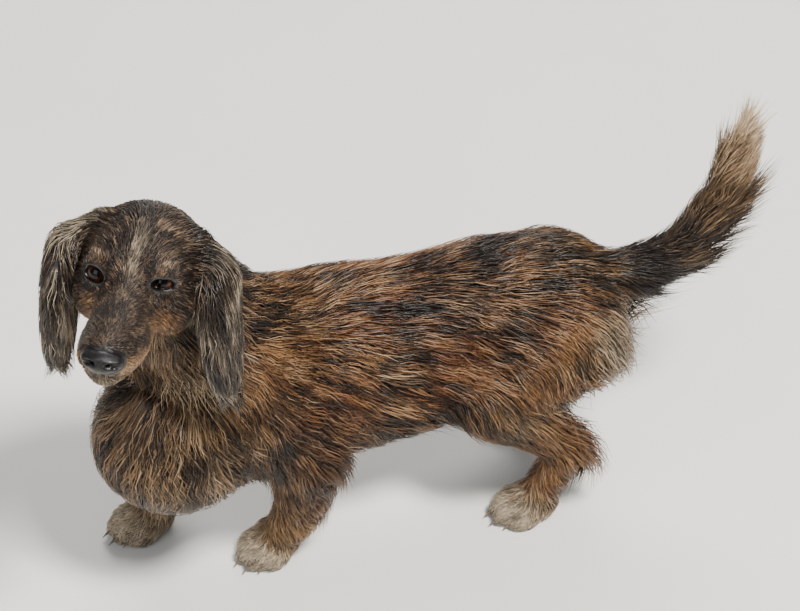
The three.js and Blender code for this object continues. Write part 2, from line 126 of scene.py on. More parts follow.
def lattice_noise(p: Array, seed: int = 0) -> Array:
    """Smooth random values from -1 to 1 over space.

    Args:
        p: places in cells of the noise.
        seed: which noise of the many.

    Returns:
        One value for each place.
    """
    cell = np.floor(p).astype(np.int64)
    f = p - cell
    f = f * f * (3.0 - 2.0 * f)
    total = np.zeros(len(p))
    for corner in range(8):
        offset = np.array([corner & 1, (corner >> 1) & 1, (corner >> 2) & 1])
        c = cell + offset
        h = (c[:, 0] * 73856093) ^ (c[:, 1] * 19349663) ^ (c[:, 2] * 83492791) ^ (seed * 2654435761)
        h = (h ^ (h >> 13)) * 1274126177
        value = ((h ^ (h >> 16)) & 0xFFFF) / 32767.5 - 1.0
        share = np.prod(np.where(offset, f, 1.0 - f), axis=1)
        total += value * share
    return total


def octaves(p: Array, seed: int = 0, count: int = 3) -> Array:
    """Noise summed over finer and finer cells."""
    return sum(lattice_noise(p * 2.0**k, seed + 7 * k) * 0.55**k for k in range(count))


@dataclass(frozen=True)
class Egg:
    """An ellipsoid in a frame of its own."""

    centre: Array
    radii: tuple[float, float, float]
    axes: Array = field(default_factory=lambda: np.eye(3))

    def distance(self, p: Array) -> Array:
        """Distance of places to the surface, negative inside."""
        r = np.array(self.radii)
        q = (p - self.centre) @ self.axes.T / r
        k0 = np.linalg.norm(q, axis=-1)
        k1 = np.linalg.norm(q / r, axis=-1)
        return np.where(k1 < 1e-9, -r.min(), k0 * (k0 - 1.0) / np.maximum(k1, 1e-9))

    def rough(self) -> None:
        """Adds the form as a ball of Blender's own, at its place."""
        bpy.ops.mesh.primitive_uv_sphere_add(segments=24, ring_count=16, radius=1.0)
        ball = bpy.context.object
        turn = Matrix(self.axes.T.tolist()).to_4x4()
        ball.data.transform(Matrix.Translation(Vector(self.centre)) @ turn @ Matrix.Diagonal((*self.radii, 1.0)))


@dataclass(frozen=True)
class Taper:
    """A cone with round ends."""

    a: Array
    b: Array
    r1: float
    r2: float

    def distance(self, p: Array) -> Array:
        """Distance of places to the surface, negative inside."""
        ba = self.b - self.a
        length = float(np.linalg.norm(ba))
        axis = ba / length
        pa = p - self.a
        y = pa @ axis
        x = np.sqrt(np.maximum(np.sum(pa * pa, axis=-1) - y * y, 0.0))
        slope = (self.r1 - self.r2) / length
        rise = math.sqrt(max(1.0 - slope * slope, 1e-9))
        t = np.clip((y + x * slope / rise) / length, 0.0, 1.0)
        return np.hypot(x, y - t * length) - (self.r1 + (self.r2 - self.r1) * t)

    def rough(self) -> None:
        """Adds the form as a chain of balls of Blender's own."""
        steps = max(2, int(np.linalg.norm(self.b - self.a) / (0.5 * min(self.r1, self.r2))))
        for i in range(steps + 1):
            t = i / steps
            r = self.r1 + (self.r2 - self.r1) * t
            Egg(self.a + (self.b - self.a) * t, (r, r, r)).rough()


@dataclass(frozen=True)
class Blend:
    """Forms that flow into one another."""

    forms: tuple
    radius: float

    def distance(self, p: Array) -> Array:
        """Distance of places to the blended surface, negative inside."""
        d = self.forms[0].distance(p)
        for form in self.forms[1:]:
            e = form.distance(p)
            h = np.maximum(self.radius - np.abs(d - e), 0.0) / self.radius
            d = np.minimum(d, e) - h * h * self.radius / 4.0
        return d

    def rough(self) -> None:
        """Adds every form in rough."""
        for form in self.forms:
            form.rough()


def slope_of(shape: "Blend | Flesh", p: Array, step: float = 0.6) -> Array:
    """Outward directions of a shape's field at some places."""
    corners = np.array([[1, -1, -1], [-1, -1, 1], [-1, 1, -1], [1, 1, 1]], float)
    return unit(sum(c * shape.distance(p + step * c)[:, None] for c in corners))


class Side(Enum):
    """The two sides of the animal."""

    LEFT = 1
    RIGHT = -1

    @property
    def label(self) -> str:
        """The side's name in lower case."""
        return self.name.lower()


@dataclass(frozen=True)
class Limb:
    """One leg, from the shoulder or hip down to its paw."""

    name: str
    joints: tuple
    radii: tuple
    paw: tuple
    heading: float

    def blend(self) -> Blend:
        """The flesh of the leg."""
        j = [np.array(p, float) for p in self.joints]
        return Blend(tuple(Taper(j[i], j[i + 1], self.radii[i], self.radii[i + 1]) for i in range(len(j) - 1)), 6)

    def on_paw(self, f: float, l: float, u: float) -> Array:
        """A place on the paw, by its own heading, at a height over the floor."""
        axes = turned(self.heading)
        p = np.array(self.paw, float) + f * axes[0] + l * axes[1]
        p[2] = u
        return p


TOES = ((7, -11.5, 7.5), (13, -4.3, 8.5), (13, 4.3, 8.5), (7, 11.5, 7.5))
LIMBS = (
    Limb("foreleg_left", ((120, 48, 130), (97, 55, 92), (107, 44, 33), (113, 39, 18)),
         (30, 19, 12.5, 12), (121, 37, 11), 30),
    Limb("foreleg_right", ((160, -20, 132), (160, -34, 92), (183, -14, 33), (190, -9, 18)),
         (30, 19, 12.5, 12), (199, -6, 11), 18),
    Limb("hindleg_left", ((-82, 24, 136), (-36, 42, 102), (-80, 48, 56), (-62, 47, 18)),
         (35, 25, 11, 10.5), (-54, 46, 10), 8),
    Limb("hindleg_right", ((-86, -24, 136), (-48, -42, 102), (-96, -48, 56), (-78, -47, 18)),
         (35, 25, 11, 10.5), (-70, -46, 10), -8),
)
TAIL_LINE = (
    ((-96, 0, 156), 17), ((-134, 0, 156), 11), ((-165, -1, 165), 8.5),
    ((-190, -3, 193), 7.5), ((-203, -5, 226), 6), ((-213, -7, 252), 4),
)
NECK_LINE = (np.array([135.0, 22, 165]), np.array([170.0, 30, 215]), on_head(-56, 0, -24))


@dataclass(frozen=True)
class EyeSocket:
    """The place and opening of one eye."""

    side: Side
    radius: float = 8.6
    lid: float = 1.3

    @property
    def centre(self) -> Array:
        """The middle of the eyeball."""
        return on_head(-7, 16.6, 0.3) if self.side is Side.LEFT else on_head(-7, -19.4, -2.2)

    @property
    def gaze(self) -> Array:
        """Where the eye looks."""
        return unit(HEAD[0] + (0.12 if self.side is Side.LEFT else -0.24) * HEAD[1] + 0.1 * HEAD[2])

    @property
    def axes(self) -> Array:
        """Gaze, across and up of the opening."""
        across = unit(np.cross(HEAD[2], self.gaze))
        return np.array([self.gaze, across, np.cross(self.gaze, across)])

    @property
    def opening(self) -> Egg:
        """The almond between the lids. The left eye is screwed up a little."""
        high = 4.7 if self.side is Side.RIGHT else 3.4
        return Egg(self.centre + self.gaze * self.radius - 0.4 * HEAD[2], (8.5, 7.4, high), self.axes)


SOCKETS = tuple(EyeSocket(side) for side in Side)


class Ear:
    """One hanging ear, with a hollow on its inner face."""

    def __init__(self, side: Side) -> None:
        """Works out the ear's frame and forms for a side."""
        s = side.value
        left = HEAD[1] * s
        self.down = unit(DOWN + 0.1 * left)
        front = unit(np.cross(left, self.down) * s)
        inner = unit(np.cross(self.down, front))
        self.axes = np.array([front, inner, -self.down])
        outward = inner * np.sign(inner @ left)
        self.flap = on_head(-38, 47 * s, -24) + 14 * self.down
        self.blend = Blend((
            Taper(on_head(-38, 27 * s, 12), on_head(-39, 45 * s, -3), 11, 9),
            Egg(on_head(-39, 46 * s, -14), (22, 8, 20), self.axes),
            Egg(self.flap, (27, 7, 44), self.axes),
        ), 8)
        self.cup = Egg(self.flap - outward * 12, (19, 9, 30), self.axes)

    def distance(self, p: Array) -> Array:
        """Distance of places to the ear, negative inside."""
        return np.maximum(self.blend.distance(p), -self.cup.distance(p))

    def rough(self) -> None:
        """Adds the ear in rough."""
        self.blend.rough()


def head_blend() -> Blend:
    """The skull, brows, cheeks, muzzle, lips and lower jaw."""

    def egg(f: float, l: float, u: float, *radii: float) -> Egg:
        """One form in the head frame."""
        return Egg(on_head(f, l, u), radii, HEAD)

    def taper(a: tuple, b: tuple, r1: float, r2: float) -> Taper:
        """One cone in the head frame."""
        return Taper(on_head(*a), on_head(*b), r1, r2)

    pairs = [form for s in (1, -1) for form in (
        egg(-5, s * 15, 8, 9, 8, 6.5), egg(-26, s * 22, -18, 26, 13, 18), egg(27, s * 9.5, -31, 28, 8.5, 9))]
    return Blend((
        egg(-38, 0, 0, 44, 34, 31), egg(-72, 0, 2, 14, 15, 13), egg(-14, 0, 2, 22, 24, 15.5), *pairs,
        taper((0, 0, -8), (52, 0, -23), 13, 9), taper((2, 0, -20), (51, 0, -29), 16.5, 12),
        taper((-30, 0, -36), (45, 0, -40), 13, 8),
    ), 9)


def trunk_blend() -> Blend:
    """The trunk and the neck."""
    base, middle, top = NECK_LINE
    return Blend((
        Egg(np.array([60.0, 5, 131]), (105, 50, 59), turned(5)),
        Egg(np.array([98.0, 8, 170]), (55, 27, 23), turned(8)),
        Egg(np.array([-38.0, 0, 146]), (78, 42, 46)),
        Egg(np.array([-82.0, 0, 141]), (36, 38, 38)),
        Egg(np.array([10.0, 2, 122]), (85, 40, 44)),
        Egg(np.array([108.0, 14, 96]), (70, 34, 26), turned(10)),
        Egg(np.array([176.0, 37, 127]), (54, 49, 50), turned(30)),
        Taper(base, middle, 46, 38), Taper(middle, top, 38, 28),
    ), 18)


def paw_blend(limb: Limb) -> Blend:
    """Four toes and a pad."""
    axes = turned(limb.heading)
    toes = [Egg(limb.on_paw(f, l, r - 1), (r + 3, 6.4, r), axes) for f, l, r in TOES]
    return Blend((*toes, Egg(limb.on_paw(-4, 0, 10), (17, 15, 12), axes)), 3)


def tail_blend() -> Blend:
    """The dock of the tail."""
    points = [(np.array(p, float), r) for p, r in TAIL_LINE]
    return Blend(tuple(Taper(a, b, r, s) for (a, r), (b, s) in zip(points, points[1:])), 8)


class Mouth:
    """The line of the mouth, from under the nose back along each cheek."""

    KNOTS = ((24.0, 30.0), (40.0, 24.0), (54.0, 13.0), (60.0, 0.0))
    LEVEL = -38.0

    def distance(self, p: Array) -> Array:
        """Distance of places to the line, as seen from the side and from below."""
        q = in_head(p)
        f, l, u = q[:, 0], np.abs(q[:, 1]), q[:, 2]
        best = np.full(len(p), 1e3)
        for (f0, l0), (f1, l1) in zip(self.KNOTS, self.KNOTS[1:]):
            t = np.clip(((f - f0) * (f1 - f0) + (l - l0) * (l1 - l0)) / ((f1 - f0) ** 2 + (l1 - l0) ** 2), 0, 1)
            level = self.LEVEL - 1.5 * smooth(50, 22, f0 + t * (f1 - f0))
            near = np.hypot(0.35 * np.hypot(f - f0 - t * (f1 - f0), l - l0 - t * (l1 - l0)), u - level)
            best = np.minimum(best, np.where(f > 20, near, 1e3))
        return best


MOUTH = Mouth()


class Flesh:
    """The whole body under the coat, as one field, with the features of the face cut into it."""

    def __init__(self) -> None:
        """Builds every part's own field."""
        self.head = head_blend()
        self.trunk = trunk_blend()
        self.ears = {side: Ear(side) for side in Side}
        self.limbs = {limb.name: limb.blend() for limb in LIMBS}
        self.paws = {limb.name: paw_blend(limb) for limb in LIMBS}
        self.tail = tail_blend()
        self.lids = tuple(Egg(s.centre, (s.radius + s.lid,) * 3) for s in SOCKETS)

    @staticmethod
    def join(d: Array, e: Array, radius: float) -> Array:
        """Two distances joined with a rounding."""
        h = np.maximum(radius - np.abs(d - e), 0.0) / radius
        return np.minimum(d, e) - h * h * radius / 4.0

    def distance(self, p: Array) -> Array:
        """Distance of places to the skin, negative inside."""
        d = self.trunk.distance(p)
        for name, limb in self.limbs.items():
            d = self.join(d, self.join(limb.distance(p), self.paws[name].distance(p), 4.0), 16.0)
        d = self.join(d, self.tail.distance(p), 12.0)
        d = self.join(d, self.face(p), 12.0)
        for ear in self.ears.values():
            d = self.join(d, ear.distance(p), 5.0)
        return np.maximum(d, 0.2 - p[:, 2])

    def face(self, p: Array) -> Array:
        """The head with its lids, eye openings and mouth."""
        d = self.head.distance(p)
        near = np.linalg.norm(p - HEAD_ORIGIN, axis=1) < 90
        q = p[near]
        e = d[near]
        for lid, socket in zip(self.lids, SOCKETS):
            e = self.join(e, lid.distance(q), 4.0)
            e = -self.join(-e, socket.opening.distance(q), 1.0)
        e = e + 1.7 * np.exp(-((MOUTH.distance(q) / 1.3) ** 2))
        d[near] = e
        return d

    def rough(self) -> None:
        """Adds every part in rough, as balls to be fused."""
        for part in (self.trunk, self.head, self.tail, *self.limbs.values(), *self.paws.values(),
                     *self.ears.values(), *self.lids):
            part.rough()


class Region(Enum):
    """The parts of the coat, each with hair of its own length and lie."""

    TRUNK = 0
    NECK = 1
    HEAD = 2
    EARS = 3
    FORELEGS = 4
    HINDLEGS = 5
    PAWS = 6
    TAIL = 7


@dataclass
class Growth:
    """How the hair grows at a set of roots. Sizes are in millimetres."""

    lie: Array
    length: Array
    depth: Array
    width: Array
    wave: Array
    free: Array
    sag: Array


class Pattern:
    """Where the coat is dark, rust, gold or pale, and how it lies, over the whole body."""

    def __init__(self, flesh: Flesh) -> None:
        """Keeps the flesh for the distances to its parts."""
        self.flesh = flesh
        self.tail_points = np.array([p for p, _ in TAIL_LINE], float)

    def parts(self, p: Array) -> Array:
        """Distances of places to the regions' own flesh, one column each."""
        flesh = self.flesh
        base, middle, top = NECK_LINE
        neck = np.minimum(Taper(base + 0.35 * (middle - base), middle, 44, 38).distance(p),
                          Taper(middle, top, 38, 28).distance(p))
        limbs = {k: np.where(p[:, 2] < 70, v.distance(p), v.distance(p) + 6.0 * smooth(70, 110, p[:, 2]))
                 for k, v in flesh.limbs.items()}
        columns = [
            flesh.trunk.distance(p) + 1.0, neck, flesh.head.distance(p) - 1.0,
            np.minimum(*(e.distance(p) for e in flesh.ears.values())) - 1.5,
            np.minimum(limbs["foreleg_left"], limbs["foreleg_right"]),
            np.minimum(limbs["hindleg_left"], limbs["hindleg_right"]),
            np.min([v.distance(p) for v in flesh.paws.values()], axis=0) - 1.0,
            flesh.tail.distance(p) - 1.0,
        ]
        return np.stack(columns, axis=1)

    def shares(self, p: Array, soft: float = 3.5) -> Array:
        """How much each region counts at some places. The rows add up to one."""
        d = self.parts(p)
        w = np.exp(-(d - d.min(axis=1, keepdims=True)) / soft)
        return w / w.sum(axis=1, keepdims=True)

    def tail_way(self, p: Array) -> tuple[Array, Array]:
        """The tail's direction nearest to some places, and how far along it they lie from 0 to 1."""
        best = np.full(len(p), 1e9)
        way, along = np.zeros((len(p), 3)), np.zeros(len(p))
        count = len(self.tail_points) - 1
        for i in range(count):
            a, b = self.tail_points[i], self.tail_points[i + 1]
            t = np.clip(((p - a) @ (b - a)) / ((b - a) @ (b - a)), 0, 1)
            d = np.linalg.norm(p - a - t[:, None] * (b - a), axis=1)
            near = d < best
            best = np.where(near, d, best)
            way[near] = unit(b - a)
            along = np.where(near, (i + t) / count, along)
        return way, along

    def growth(self, p: Array, n: Array) -> Growth:
        """How the hair grows at each root.

        Args:
            p: the roots.
            n: the skin's outward directions there.

        Returns:
            Direction, length, depth, width, wave, freedom and sag of the hair at each root.
        """
        share = self.shares(p)
        low = (1 - n[:, 2]) / 2
        yaw = np.radians(np.clip(0.3 * (p[:, 0] - 20), 0, 50))
        back = np.stack([-np.cos(yaw), -np.sin(yaw), np.zeros(len(p))], axis=1)
        trunk = back * (1.1 - 0.45 * low)[:, None] + DOWN * (0.22 + 0.95 * low)[:, None]
        front = smooth(0.0, 0.75, -np.sum(n * back, axis=1))[:, None]
        trunk = trunk * (1 - front) + (1.3 * DOWN + 0.15 * back) * front
        neck = 0.9 * unit(NECK_LINE[0] - NECK_LINE[2]) + 0.5 * back + 0.55 * DOWN
        q = in_head(p)
        spread = np.sign(q[:, 1]) * smooth(0, 14, np.abs(q[:, 1]))
        crown = smooth(-10, -45, q[:, 0])
        head = (-HEAD[0] * (1.1 - 0.3 * crown)[:, None] + HEAD[1] * (0.45 * spread)[:, None]
                - HEAD[2] * (0.15 + 0.5 * smooth(5, -30, q[:, 2]) + 0.35 * crown)[:, None])
        sockets = np.array([in_head(s.centre + s.gaze * s.radius) for s in SOCKETS])
        eye = np.where((q[:, 1] > 0)[:, None], sockets[0], sockets[1])
        from_eye = q - eye + np.array([0.0, 0.0, 0.5])
        beside = smooth(19, 8, np.linalg.norm(from_eye, axis=1))
        head = head * (1 - 0.8 * beside)[:, None] + unit(from_eye) @ HEAD * (1.1 * beside)[:, None]
        left = (q[:, 1] > 0)[:, None]
        flap = np.where(left, self.flesh.ears[Side.LEFT].flap, self.flesh.ears[Side.RIGHT].flap)
        hang = np.where(left, self.flesh.ears[Side.LEFT].down, self.flesh.ears[Side.RIGHT].down)
        below = np.sum((p - flap) * hang, axis=1)
        to_tip = flap + 74 * hang - p
        ear_down = hang + unit(to_tip) * smooth(-10, 30, below)[:, None]
        limb = np.stack([-0.45 - 0.3 * (n[:, 0] < 0), 0.25 * n[:, 1], np.full(len(p), -1.0)], axis=1)
        paw = np.stack([0.8 + 0 * p[:, 0], 0.3 * n[:, 1], np.full(len(p), -0.5)], axis=1)
        way, along = self.tail_way(p)
        under = unit(np.cross(way, np.array([0.0, 1.0, 0.0])))
        under *= np.where(under[:, 2] - 0.6 * under[:, 0] > 0, -1.0, 1.0)[:, None]
        beneath = smooth(-0.3, 0.8, np.sum(n * under, axis=1))
        tail = way + under * (0.12 + 0.5 * beneath)[:, None] + n * 0.25
        fields = np.stack([trunk, neck, head, ear_down, limb, limb * [1.3, 1, 1], paw, tail], axis=1)
        lie = np.einsum("ij,ijk->ik", share, unit(fields))
        rear = smooth(0.1, -0.8, n[:, 0])
        upper = smooth(30, 70, p[:, 2])
        muzzle = smooth(-8, 22, q[:, 0])
        edge = smooth(-5, 38, below)
        trim = 0.4 + 0.6 * smooth(9, 22, np.linalg.norm(from_eye, axis=1))
        breech = smooth(-58, -92, p[:, 0]) * smooth(158, 135, p[:, 2]) * smooth(52, 80, p[:, 2])
        one = np.ones(len(p))
        belly = smooth(0.55, 0.95, low)
        chest = smooth(150, 190, p[:, 0]) * smooth(-10, 10, p[:, 1])

        def mix(*columns: Array) -> Array:
            """One value for each root from the regions' values."""
            return np.einsum("ij,ij->i", share, np.stack([c * one for c in columns], axis=1))

        return Growth(
            lie=unit(lie),
            length=mix(30 + 12 * low + 8 * belly + 12 * chest + 26 * breech, 34 + 8 * low, trim * (11 - 6.5 * muzzle),
                       24 + 10 * edge, 12 + 24 * rear * upper, 16 + 8 * upper + 26 * rear * upper + 16 * breech, 5.5,
                       26 + 30 * beneath * smooth(0.05, 0.3, along) - 16 * smooth(0.7, 1, along)),
            depth=mix(5.0 + 2 * low + 13 * breech, 6.0, trim * (1.5 - 0.8 * muzzle), 3.0, 2.6 + 6 * rear * upper,
                      3.0 + 8 * rear * upper + 12 * breech, 1.3, 7.5),
            width=mix(0.9, 1.0, 0.7 - 0.2 * muzzle, 0.9, 0.85, 0.9, 0.65, 0.95),
            wave=mix(0.16 + 0.2 * low + 0.25 * chest, 0.32, 0.05, 0.3, 0.16, 0.18, 0.03, 0.14),
            free=mix(np.clip(0.12 + 0.6 * belly + 0.8 * breech, 0, 1), 0.25, 0.0, 0.3 + 0.4 * edge, 0.9 * rear * upper,
                     0.95 * rear * upper, 0.0, 1.0),
            sag=mix(0.1 + 0.3 * belly + 0.15 * breech, 0.25, 0.0, 1.3, 0.5, 0.6, 0.0, 0.0),
        )

    def masks(self, p: Array) -> dict[str, Array]:
        """How rusty, golden, pale and dark the coat is at some places, from 0 to 1."""
        share = self.shares(p, 5.0)
        trunk, neck, head, ears, fore, hind, paws, tail = share.T
        body = trunk + neck
        q = in_head(p)
        f, l, u = q[:, 0], np.abs(q[:, 1]), q[:, 2]
        folded = np.stack([f, l, u], axis=1)
        streak = octaves(p * np.array([0.035, 0.075, 0.06]), 3)
        fine = octaves(p * np.array([0.09, 0.2, 0.16]), 11)
        broad = octaves(p * 0.016, 29, 2)
        mirrored = p.copy()
        mirrored[:, 1] = np.abs(p[:, 1] - 5)
        patches = sum(spot(mirrored, np.array(c, float), r) for c, r in (
            ((128, 60, 196), (26, 30, 26)), ((96, 50, 150), (30, 30, 40)), ((10, 42, 150), (38, 30, 26)),
            ((-62, 36, 166), (30, 24, 22)), ((40, 20, 190), (60, 22, 18))))
        rust = body * np.clip(0.17 + 0.55 * patches + 0.5 * streak + 0.95 * fine + 0.1 * broad + 0.45 * neck, 0, 1)
        # Painted highlight: the shoulder spots lay extra gold on the top of the left shoulder and the upper left of
        # the rump, where the light falls.
        shoulder = (spot(p, np.array([128.0, 70, 190]), (40, 34, 50))
                    + spot(p, np.array([-92.0, 30, 165]), (36, 40, 40)))
        gold = body * np.clip(0.2 + 0.85 * fine + 0.3 * streak + 0.35 * neck + 0.3 * shoulder, 0, 1) * 0.85
        low_leg = smooth(85, 40, p[:, 2])
        ruff = (spot(p, np.array([182.0, 82, 205]), (34, 32, 42))
                + 0.6 * spot(p, np.array([190.0, 70, 135]), (40, 34, 34)))
        gold += body * ruff * np.clip(0.7 + 0.7 * fine, 0, 1) * 0.8
        rust += (fore + hind) * np.clip(0.5 + 0.4 * streak + 0.3 * fine, 0, 1) * 0.8
        gold += fore * np.clip(0.2 + 0.5 * low_leg + 0.4 * fine, 0, 1) + hind * np.clip(0.45 + 0.35 * fine, 0, 1)
        gold += paws * np.clip(0.6 + 0.4 * fine, 0, 1)
        pale = (paws * np.clip(1.0 + 0.5 * fine, 0, 1)
                + hind * smooth(-74, -100, p[:, 0]) * smooth(60, 90, p[:, 2]) * 0.7)
        rump = trunk * smooth(-86, -124, p[:, 0]) * smooth(160, 130, p[:, 2])
        pale += (body * np.clip(0.8 * fine - 0.08, 0, 1) * (0.5 + 0.2 * neck)
                 + rump * np.clip(0.5 + 0.6 * fine, 0, 1) * 0.8)
        pale += body * ruff * np.clip(0.45 + 0.9 * fine, 0, 1) * 0.8
        _, along = self.tail_way(p)
        pale += tail * smooth(0.52, 1.02, along + 0.06 * fine) * np.clip(0.7 + 0.5 * fine, 0, 1)
        gold += tail * smooth(0.4, 0.8, along) * 0.6
        gold += tail * np.clip(0.1 + 0.4 * fine, 0, 1) * 0.6
        brows = spot(folded, np.array([-3.0, 15.0, 11.0]), (6, 6.5, 3.6))
        cheeks = smooth(-22, -30, u) * smooth(6, 12, l) * smooth(-30, -5, f)
        cheeks = cheeks + 1.2 * spot(folded, np.array([8.0, 21, -20]), (17, 8, 10))
        lips = smooth(-26, -34, u) * smooth(8, 20, f)
        blaze = (smooth(5.5, 1.5, l) * smooth(-22, -8, f) * smooth(26, 6, f)
                 + spot(q, np.array([33.0, -1, -10]), (8, 7, 6)))
        gold += head * np.clip(0.85 * brows + 0.62 * cheeks + 0.5 * lips + 0.12 * fine, 0, 1)
        rust += head * np.clip(0.06 + 0.25 * fine + 0.55 * cheeks, 0, 1)
        pale += head * np.clip(0.36 * blaze + 0.4 * lips + 0.3 * brows + 0.2 * fine - 0.02, 0, 1)
        rays = octaves(np.stack([np.arctan2(q[:, 1], u + 40) * 9, f * 0.03, 0 * f], 1), 41, 2)
        gold += head * smooth(-10, -30, f) * np.clip(0.45 * rays, 0, 1)
        pale += ears * np.clip(0.3 + 0.9 * fine, 0, 1) * np.where(q[:, 1] < 0, 0.95, 0.8)
        rust += ears * np.clip(0.2 + 0.5 * fine, 0, 1) * 0.6
        # The last dark term is painted shade: a dark patch on the front of the chest, below the muzzle.
        dark = np.clip(tail * smooth(0.6, 0.2, along + 0.08 * fine)
                       + ears * np.clip(0.2 - 0.9 * fine, 0, 0.8) + head * smooth(-5, -40, f) * 0.3
                       + body * np.clip(-0.4 * streak - 1.3 * fine - 0.1, 0, 0.85)
                       + body * 0.5 * spot(p, np.array([205.0, 10, 150]), (40, 34, 50)), 0, 1)
        dark = dark + head * smooth(12, 30, f) * smooth(-28, -20, u) * np.clip(0.4 + 0.8 * fine, 0, 1) * 0.35
        dark = np.maximum(dark, head * spot(folded, np.array([0.0, 19.0, -3.0]), (11, 9, 6.5)) * 0.9)
        return {k: np.clip(v, 0, 1) for k, v in dict(rust=rust, gold=gold, pale=pale, dark=dark).items()}


def linear(code: int) -> tuple[float, float, float, float]:
    """A colour as the shader wants it, from its usual hexadecimal form."""
    parts = [((code >> s) & 255) / 255 for s in (16, 8, 0)]
    return (*[c / 12.92 if c <= 0.04045 else ((c + 0.055) / 1.055) ** 2.4 for c in parts], 1.0)


class Paint:
    """A material's nodes, added one after another."""

    def __init__(self, name: str) -> None:
        """Makes an empty material with one shader."""
        self.material = bpy.data.materials.new(name)
        self.material.use_nodes = True
        self.tree = self.material.node_tree
        self.shader = next(n for n in self.tree.nodes if n.type == "BSDF_PRINCIPLED")

    def node(self, kind: str, **settings: object) -> bpy.types.Node:
        """Adds a node with some settings."""
        n = self.tree.nodes.new(kind)
        for key, value in settings.items():
            setattr(n, key, value)
        return n

    def link(self, start: bpy.types.NodeSocket, end: bpy.types.NodeSocket) -> None:
        """Joins two sockets."""
        self.tree.links.new(start, end)

    def value(self, name: str) -> bpy.types.NodeSocket:
        """One of the mesh's own values."""
        return self.node("ShaderNodeAttribute", attribute_name=name).outputs["Fac"]

    def math(self, operation: str, *operands: object, clamp: bool = False) -> bpy.types.NodeSocket:
        """A sum on values or sockets."""
        n = self.node("ShaderNodeMath", operation=operation, use_clamp=clamp)
        for socket, given in zip(n.inputs, operands):
            if isinstance(given, (int, float)):
                socket.default_value = given
            else:
                self.link(given, socket)
        return n.outputs[0]

    def mix(self, share: bpy.types.NodeSocket, a: object, b: object) -> bpy.types.NodeSocket:
        """A colour between two colours or sockets."""
        n = self.node("ShaderNodeMix", data_type="RGBA")
        self.link(share, n.inputs["Factor"])
        for socket, given in ((n.inputs[6], a), (n.inputs[7], b)):
            if isinstance(given, tuple):
                socket.default_value = given
            else:
                self.link(given, socket)
        return n.outputs[2]

    def noise(self, scale: float, detail: float = 2.0, stretch: tuple = (1.0, 1.0, 1.0)) -> bpy.types.NodeSocket:
        """Noise over the object's own space."""
        place = self.node("ShaderNodeTexCoord").outputs["Object"]
        turn = self.node("ShaderNodeMapping")
        turn.inputs["Scale"].default_value = stretch
        self.link(place, turn.inputs["Vector"])
        n = self.node("ShaderNodeTexNoise")
        n.inputs["Scale"].default_value = scale
        n.inputs["Detail"].default_value = detail
        self.link(turn.outputs[0], n.inputs["Vector"])
        return n.outputs[0]

    def bump(self, height: bpy.types.NodeSocket, strength: float, distance: float) -> None:
        """Small relief on the shader's surface."""
        n = self.node("ShaderNodeBump")
        n.inputs["Strength"].default_value = strength
        n.inputs["Distance"].default_value = distance
        self.link(height, n.inputs["Height"])
        self.link(n.outputs[0], self.shader.inputs["Normal"])


@dataclass(frozen=True)
class CoatFinish:
    """Hair colours from the darkest to the palest, and how the hair shines."""

    name: str
    dark: int = 0x0C0706
    base: int = 0x22160F
    rust: int = 0x7E4322
    gold: int = 0xB98D58
    pale: int = 0xD8C8AD
    roughness: float = 0.4
    spread: float = 0.85
    bare: bool = False

    def make(self) -> bpy.types.Material:
        """The material, from the mesh's own masks."""
        paint = Paint(self.name)
        vary = paint.value("vary")
        fine = paint.noise(420 if self.bare else 160, 3.0)
        push = paint.math("MULTIPLY_ADD", vary, self.spread, -0.41)
        colour = linear(self.base)
        for mask, code, gain in (("rust", self.rust, 1.0), ("gold", self.gold, 0.9), ("pale", self.pale, 0.9)):
            share = paint.math("MULTIPLY", paint.math("ADD", paint.value(mask), push), gain, clamp=True)
            eased = paint.math("SMOOTH_MIN", paint.math("POWER", share, 1.5), 1.0, 0.5)
            colour = paint.mix(paint.math("MULTIPLY", eased, 0.92), colour, linear(code))
        colour = paint.mix(paint.math("MULTIPLY", paint.value("dark"), 0.85), colour, linear(self.dark))
        along = paint.value("along")
        # Painted shade: the hair darkens towards its roots, where it lies under other hair; the skin takes the same
        # shade through its along value.
        root = paint.math("MULTIPLY", paint.math("SUBTRACT", 1.0, along), 0.62, clamp=True)
        colour = paint.mix(root, colour, linear(self.dark))
        tint = paint.math("MULTIPLY", paint.math("SUBTRACT", fine, 0.42), 0.9, clamp=True)
        colour = paint.mix(tint, colour, linear(self.dark))
        if self.bare:
            colour = paint.mix(paint.value("rim"), colour, linear(0x0C0908))
            rough = paint.math("SUBTRACT", 0.7, paint.math("MULTIPLY", paint.value("rim"), 0.42))
            paint.link(rough, paint.shader.inputs["Roughness"])
            paint.bump(paint.noise(900, 2.0, (1.0, 1.0, 0.5)), 0.35, 0.0006)
        else:
            paint.shader.inputs["Roughness"].default_value = self.roughness
        paint.link(colour, paint.shader.inputs["Base Color"])
        paint.shader.inputs["Specular IOR Level"].default_value = 0.45
        return paint.material


@dataclass(frozen=True)
class LeatherFinish:
    """The damp, pebbled leather of the nose."""

    def make(self) -> bpy.types.Material:
        """The material."""
        paint = Paint("nose_leather")
        cells = paint.node("ShaderNodeTexVoronoi", feature="DISTANCE_TO_EDGE")
        cells.inputs["Scale"].default_value = 1150
        paint.link(paint.node("ShaderNodeTexCoord").outputs["Object"], cells.inputs["Vector"])
        pebble = paint.math("POWER", cells.outputs["Distance"], 0.5)
        worn = paint.mix(paint.noise(300), linear(0x040304), linear(0x100E0E))
        # Painted shade: the nostrils' hollows are darkened almost to black.
        paint.link(paint.mix(paint.value("hollow"), worn, linear(0x020202)), paint.shader.inputs["Base Color"])
        rough = paint.math("ADD", 0.3, paint.math("MULTIPLY", paint.noise(500), 0.2))
        paint.link(rough, paint.shader.inputs["Roughness"])
        paint.shader.inputs["Specular IOR Level"].default_value = 0.28
        paint.shader.inputs["Coat Weight"].default_value = 0.12
        paint.shader.inputs["Coat Roughness"].default_value = 0.15
        paint.bump(pebble, 0.3, 0.0003)
        return paint.material


